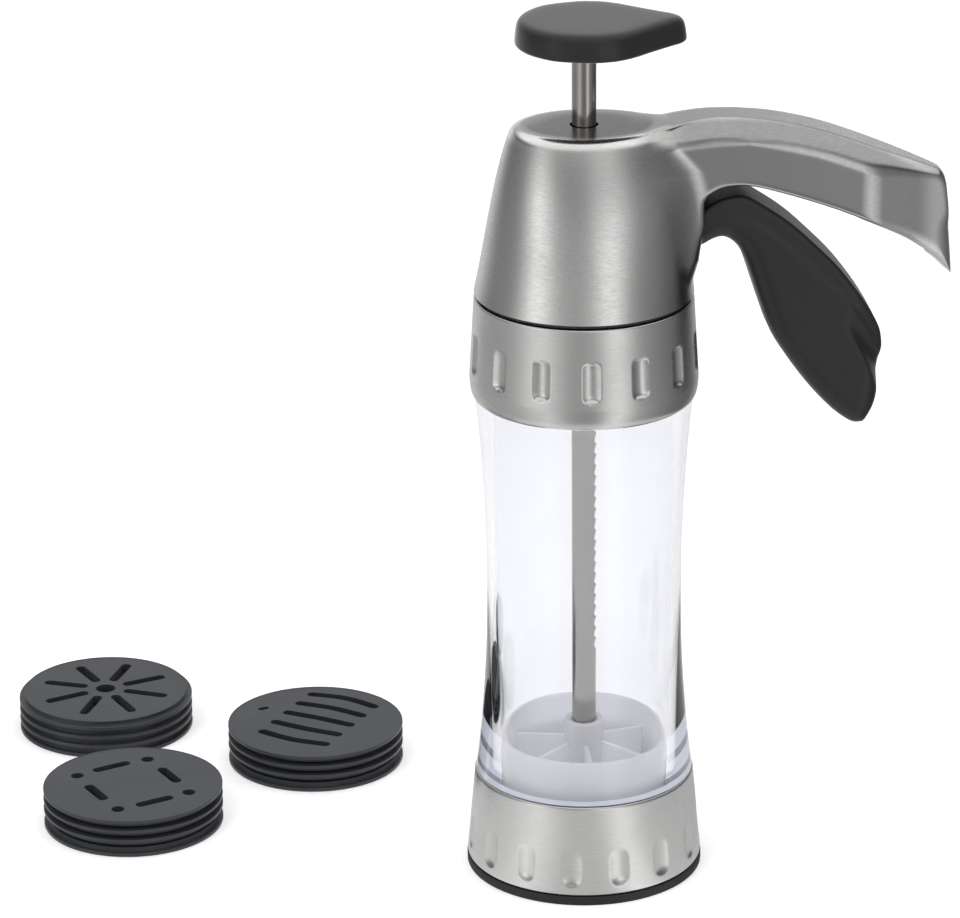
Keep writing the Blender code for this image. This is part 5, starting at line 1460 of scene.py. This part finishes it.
# %% [markdown]
# ## The piston
#
# The piston is a thin milky cup with a hub in the middle and six ribs that tie
# the hub to the wall. It is turned, and the ribs are thin plates, joined to it
# with a Boolean so that the cup stays one moulding and light passes through it
# without inner faces.

# %% Build the piston
piston_low, piston_high, _ = size_of("piston")
PISTON_WALL = 1.4 * MM
PISTON_FLOOR = 2.5 * MM
RIM_DROP = 2.7 * MM
HUB_RADIUS = 5.3 * MM
HUB_BORE = 3.5 * MM
RIB_COUNT = 6
RIB_THICKNESS = 1.2 * MM
PISTON_GAP = 0.5 * MM
PISTON_ROUNDING = 0.5 * MM
PISTON_STEPS = 120
SEAT_RADIUS = 5.5 * MM
SEAT_DEPTH = 1.8 * MM
# how the ribs bite into the hub, the floor and the wall, and how far they lie below the rims
RIB_START = 4.6 * MM
RIB_SINK = 0.3 * MM
RIB_BITE = 0.6 * MM
RIB_LAND = 1.4 * MM
RIB_DROP = 6 * MM
piston_radius = BORE_RADIUS - PISTON_GAP
rim_z = piston_high - RIM_DROP
floor_z = piston_low + PISTON_FLOOR
piston_profile = rounded([
    (piston_radius - PISTON_WALL, rim_z), (piston_radius, rim_z), (piston_radius, piston_low),
    (SEAT_RADIUS, piston_low), (SEAT_RADIUS, piston_low + SEAT_DEPTH), (HUB_BORE, piston_low + SEAT_DEPTH),
    (HUB_BORE, piston_high), (HUB_RADIUS, piston_high), (HUB_RADIUS, floor_z),
    (piston_radius - PISTON_WALL, floor_z)], PISTON_ROUNDING)
piston_mesh = turned_mesh("piston_cup", piston_profile, steps=PISTON_STEPS)


def rib_mesh(turn):
    """One rib: a plate that falls from the hub to the wall."""
    inner = piston_radius - PISTON_WALL
    shape = [
        (RIB_START, floor_z - RIB_SINK), (inner + RIB_BITE, floor_z - RIB_SINK),
        (inner + RIB_BITE, rim_z - RIB_DROP), (inner - RIB_LAND, rim_z - RIB_DROP),
        (RIB_START, piston_high - RIB_DROP)]
    mesh = plate_block("rib", shape, RIB_THICKNESS / 2)
    mesh.transform(Matrix.Rotation(turn, 4, "Z"))
    return mesh


ribs = [rib_mesh(math.tau * (index + 0.5) / RIB_COUNT) for index in range(RIB_COUNT)]
piston_mesh = combined(piston_mesh, "UNION", ribs)
piston = set_piece("piston_cup", piston_mesh, "piston", ["piston"], [MILKY_PLASTIC])
piston.visible_shadow = False
print("piston with", RIB_COUNT, "ribs")

# %% [markdown]
# ## The dies
#
# A die is a moulded disc with a flange on one face and a slightly smaller boss
# on the other. Its cut-outs shape the dough. Each is turned, and its cut-outs
# are plates with round ends that a Boolean takes out of it.

# %% Helpers for cut-outs
DIE_SLOT_WIDTH = 2.9 * MM
DOT_RADIUS = 1.8 * MM
HUB_HOLE_RADIUS = 2.8 * MM
ROUND_END_STEPS = 8


def slot_shape(start, end, width=DIE_SLOT_WIDTH, bow=0.0):
    """The outline of a slot with round ends, bowed to one side if asked."""
    start, end = Vector(start), Vector(end)
    heading = end - start
    square = Vector((-heading.y, heading.x)).normalized()
    middle = (start + end) / 2 + square * bow
    spine = smooth_line([start, middle, end], 6)
    left = []
    right = []
    for index, point in enumerate(spine):
        ahead = Vector(spine[min(index + 1, len(spine) - 1)]) - Vector(spine[max(index - 1, 0)])
        side = Vector((-ahead.y, ahead.x)).normalized() * width / 2
        left.append(Vector(point) + side)
        right.append(Vector(point) - side)
    cap_end = []
    cap_start = []
    for step in range(1, ROUND_END_STEPS):
        swing = math.pi * step / ROUND_END_STEPS
        from_right = Matrix.Rotation(swing, 2) @ (right[-1] - end)
        cap_end.append(end + from_right)
        from_left = Matrix.Rotation(swing, 2) @ (left[0] - start)
        cap_start.append(start + from_left)
    return right + cap_end + left[::-1] + cap_start


def dot_shape(centre, radius=DOT_RADIUS, steps=24):
    """The outline of a round hole."""
    turns = [math.tau * step / steps for step in range(steps)]
    return [Vector((centre[0] + radius * math.cos(t), centre[1] + radius * math.sin(t))) for t in turns]


def polar(radius, angle):
    return Vector((radius * math.cos(angle), radius * math.sin(angle)))


def spokes(count, inner, outer, start=0.0):
    turns = [start + math.tau * index / count for index in range(count)]
    return [slot_shape(polar(inner, turn), polar(outer, turn)) for turn in turns]


def dot_ring(count, radius, start=0.0):
    return [dot_shape(polar(radius, start + math.tau * index / count)) for index in range(count)]


def tangents(count, radius, half_length, start=0.0):
    shapes = []
    for index in range(count):
        turn = start + math.tau * index / count
        along = polar(half_length, turn + math.pi / 2)
        shapes.append(slot_shape(polar(radius, turn) - along, polar(radius, turn) + along))
    return shapes


def parallels(offsets, half_length, heading=0.0, bow_share=0.0):
    shapes = []
    along = polar(half_length, heading)
    for offset in offsets:
        middle = polar(offset, heading + math.pi / 2)
        shapes.append(slot_shape(middle - along, middle + along, bow=offset * bow_share))
    return shapes


def cut_plate(name, shape, low, high):
    """A cut-out's outline, thickened upwards into a cutter."""
    lower, upper = ([(point[0], point[1], height) for point in shape] for height in (low, high))
    return slab(name, lower, upper)


print("cut-out helpers ready")

# %% Build the three stacks
DIE_RADIUS = 24.6 * MM
DIE_BOSS_RADIUS = 23.1 * MM
FLANGE_THICKNESS = 1.1 * MM
DIE_ROUNDING = 0.3 * MM
DIE_STEPS = 128
DIE_OVERRUN = 1 * MM
CORNER_TURN = math.radians(24)
COMB_TURN = math.radians(-32.6)
STACKS = {
    "front": [
        spokes(5, 3.7 * MM, 14.8 * MM), dot_ring(6, 13.5 * MM) + [dot_shape((0, 0), HUB_HOLE_RADIUS)],
        tangents(3, 9.8 * MM, 7.4 * MM),
        tangents(2, 11.2 * MM, 4.2 * MM, CORNER_TURN)
        + tangents(2, 13.3 * MM, 4.2 * MM, CORNER_TURN + math.pi / 2)
        + [dot_shape(polar(16.7 * MM, math.radians(turn))) for turn in (73.5, 153.8, 253.5, 333.8)]],
    "side": [
        spokes(6, 4.9 * MM, 16.0 * MM), parallels([-7.4 * MM, 0, 7.4 * MM], 11.1 * MM),
        dot_ring(8, 14.8 * MM),
        parallels([-12.6 * MM, -5.3 * MM, 2.0 * MM, 9.3 * MM, 16.5 * MM], 9.9 * MM, COMB_TURN, 0.10)
        + [slot_shape((-14.6 * MM, 10.6 * MM), (-13.2 * MM, 11.2 * MM), width=1.8 * MM)]],
    "back": [
        tangents(6, 13.5 * MM, 4.4 * MM),
        spokes(4, 6.2 * MM, 15.3 * MM) + [dot_shape((0, 0), HUB_HOLE_RADIUS)],
        parallels([0.0], 14.8 * MM),
        spokes(8, 6.9 * MM, 17.2 * MM, math.pi / 8) + [dot_shape((0, 0), HUB_HOLE_RADIUS)]],
}


def die_mesh(name, thickness, boss_up, shapes):
    """A die with its lower face at zero."""
    if boss_up:
        low_radius, high_radius, step = DIE_RADIUS, DIE_BOSS_RADIUS, FLANGE_THICKNESS
    else:
        low_radius, high_radius, step = DIE_BOSS_RADIUS, DIE_RADIUS, thickness - FLANGE_THICKNESS
    profile = rounded([
        (high_radius, thickness), (high_radius, step), (low_radius, step), (low_radius, 0.0)], DIE_ROUNDING)
    profile = [(0.0, thickness)] + [tuple(point) for point in profile] + [(0.0, 0.0)]
    disc = turned_mesh(name, profile, steps=DIE_STEPS)
    tools = [cut_plate("tool", shape, -DIE_OVERRUN, thickness + DIE_OVERRUN) for shape in shapes]
    return combined(disc, "DIFFERENCE", tools)


for stack, patterns in STACKS.items():
    for number, shapes in enumerate(patterns, 1):
        node = f"die_{stack}_{number}"
        low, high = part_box(node)
        middle = (low + high) / 2
        mesh = die_mesh(f"{node}_disc", high.z - low.z, stack == "back" or number == 1, shapes)
        set_piece(
            f"{node}_disc", mesh, node, [node], [DIE_PLASTIC], sharp=35,
            place=Vector((middle.x, middle.y, low.z)))
print("dies:", sum(len(patterns) for patterns in STACKS.values()))
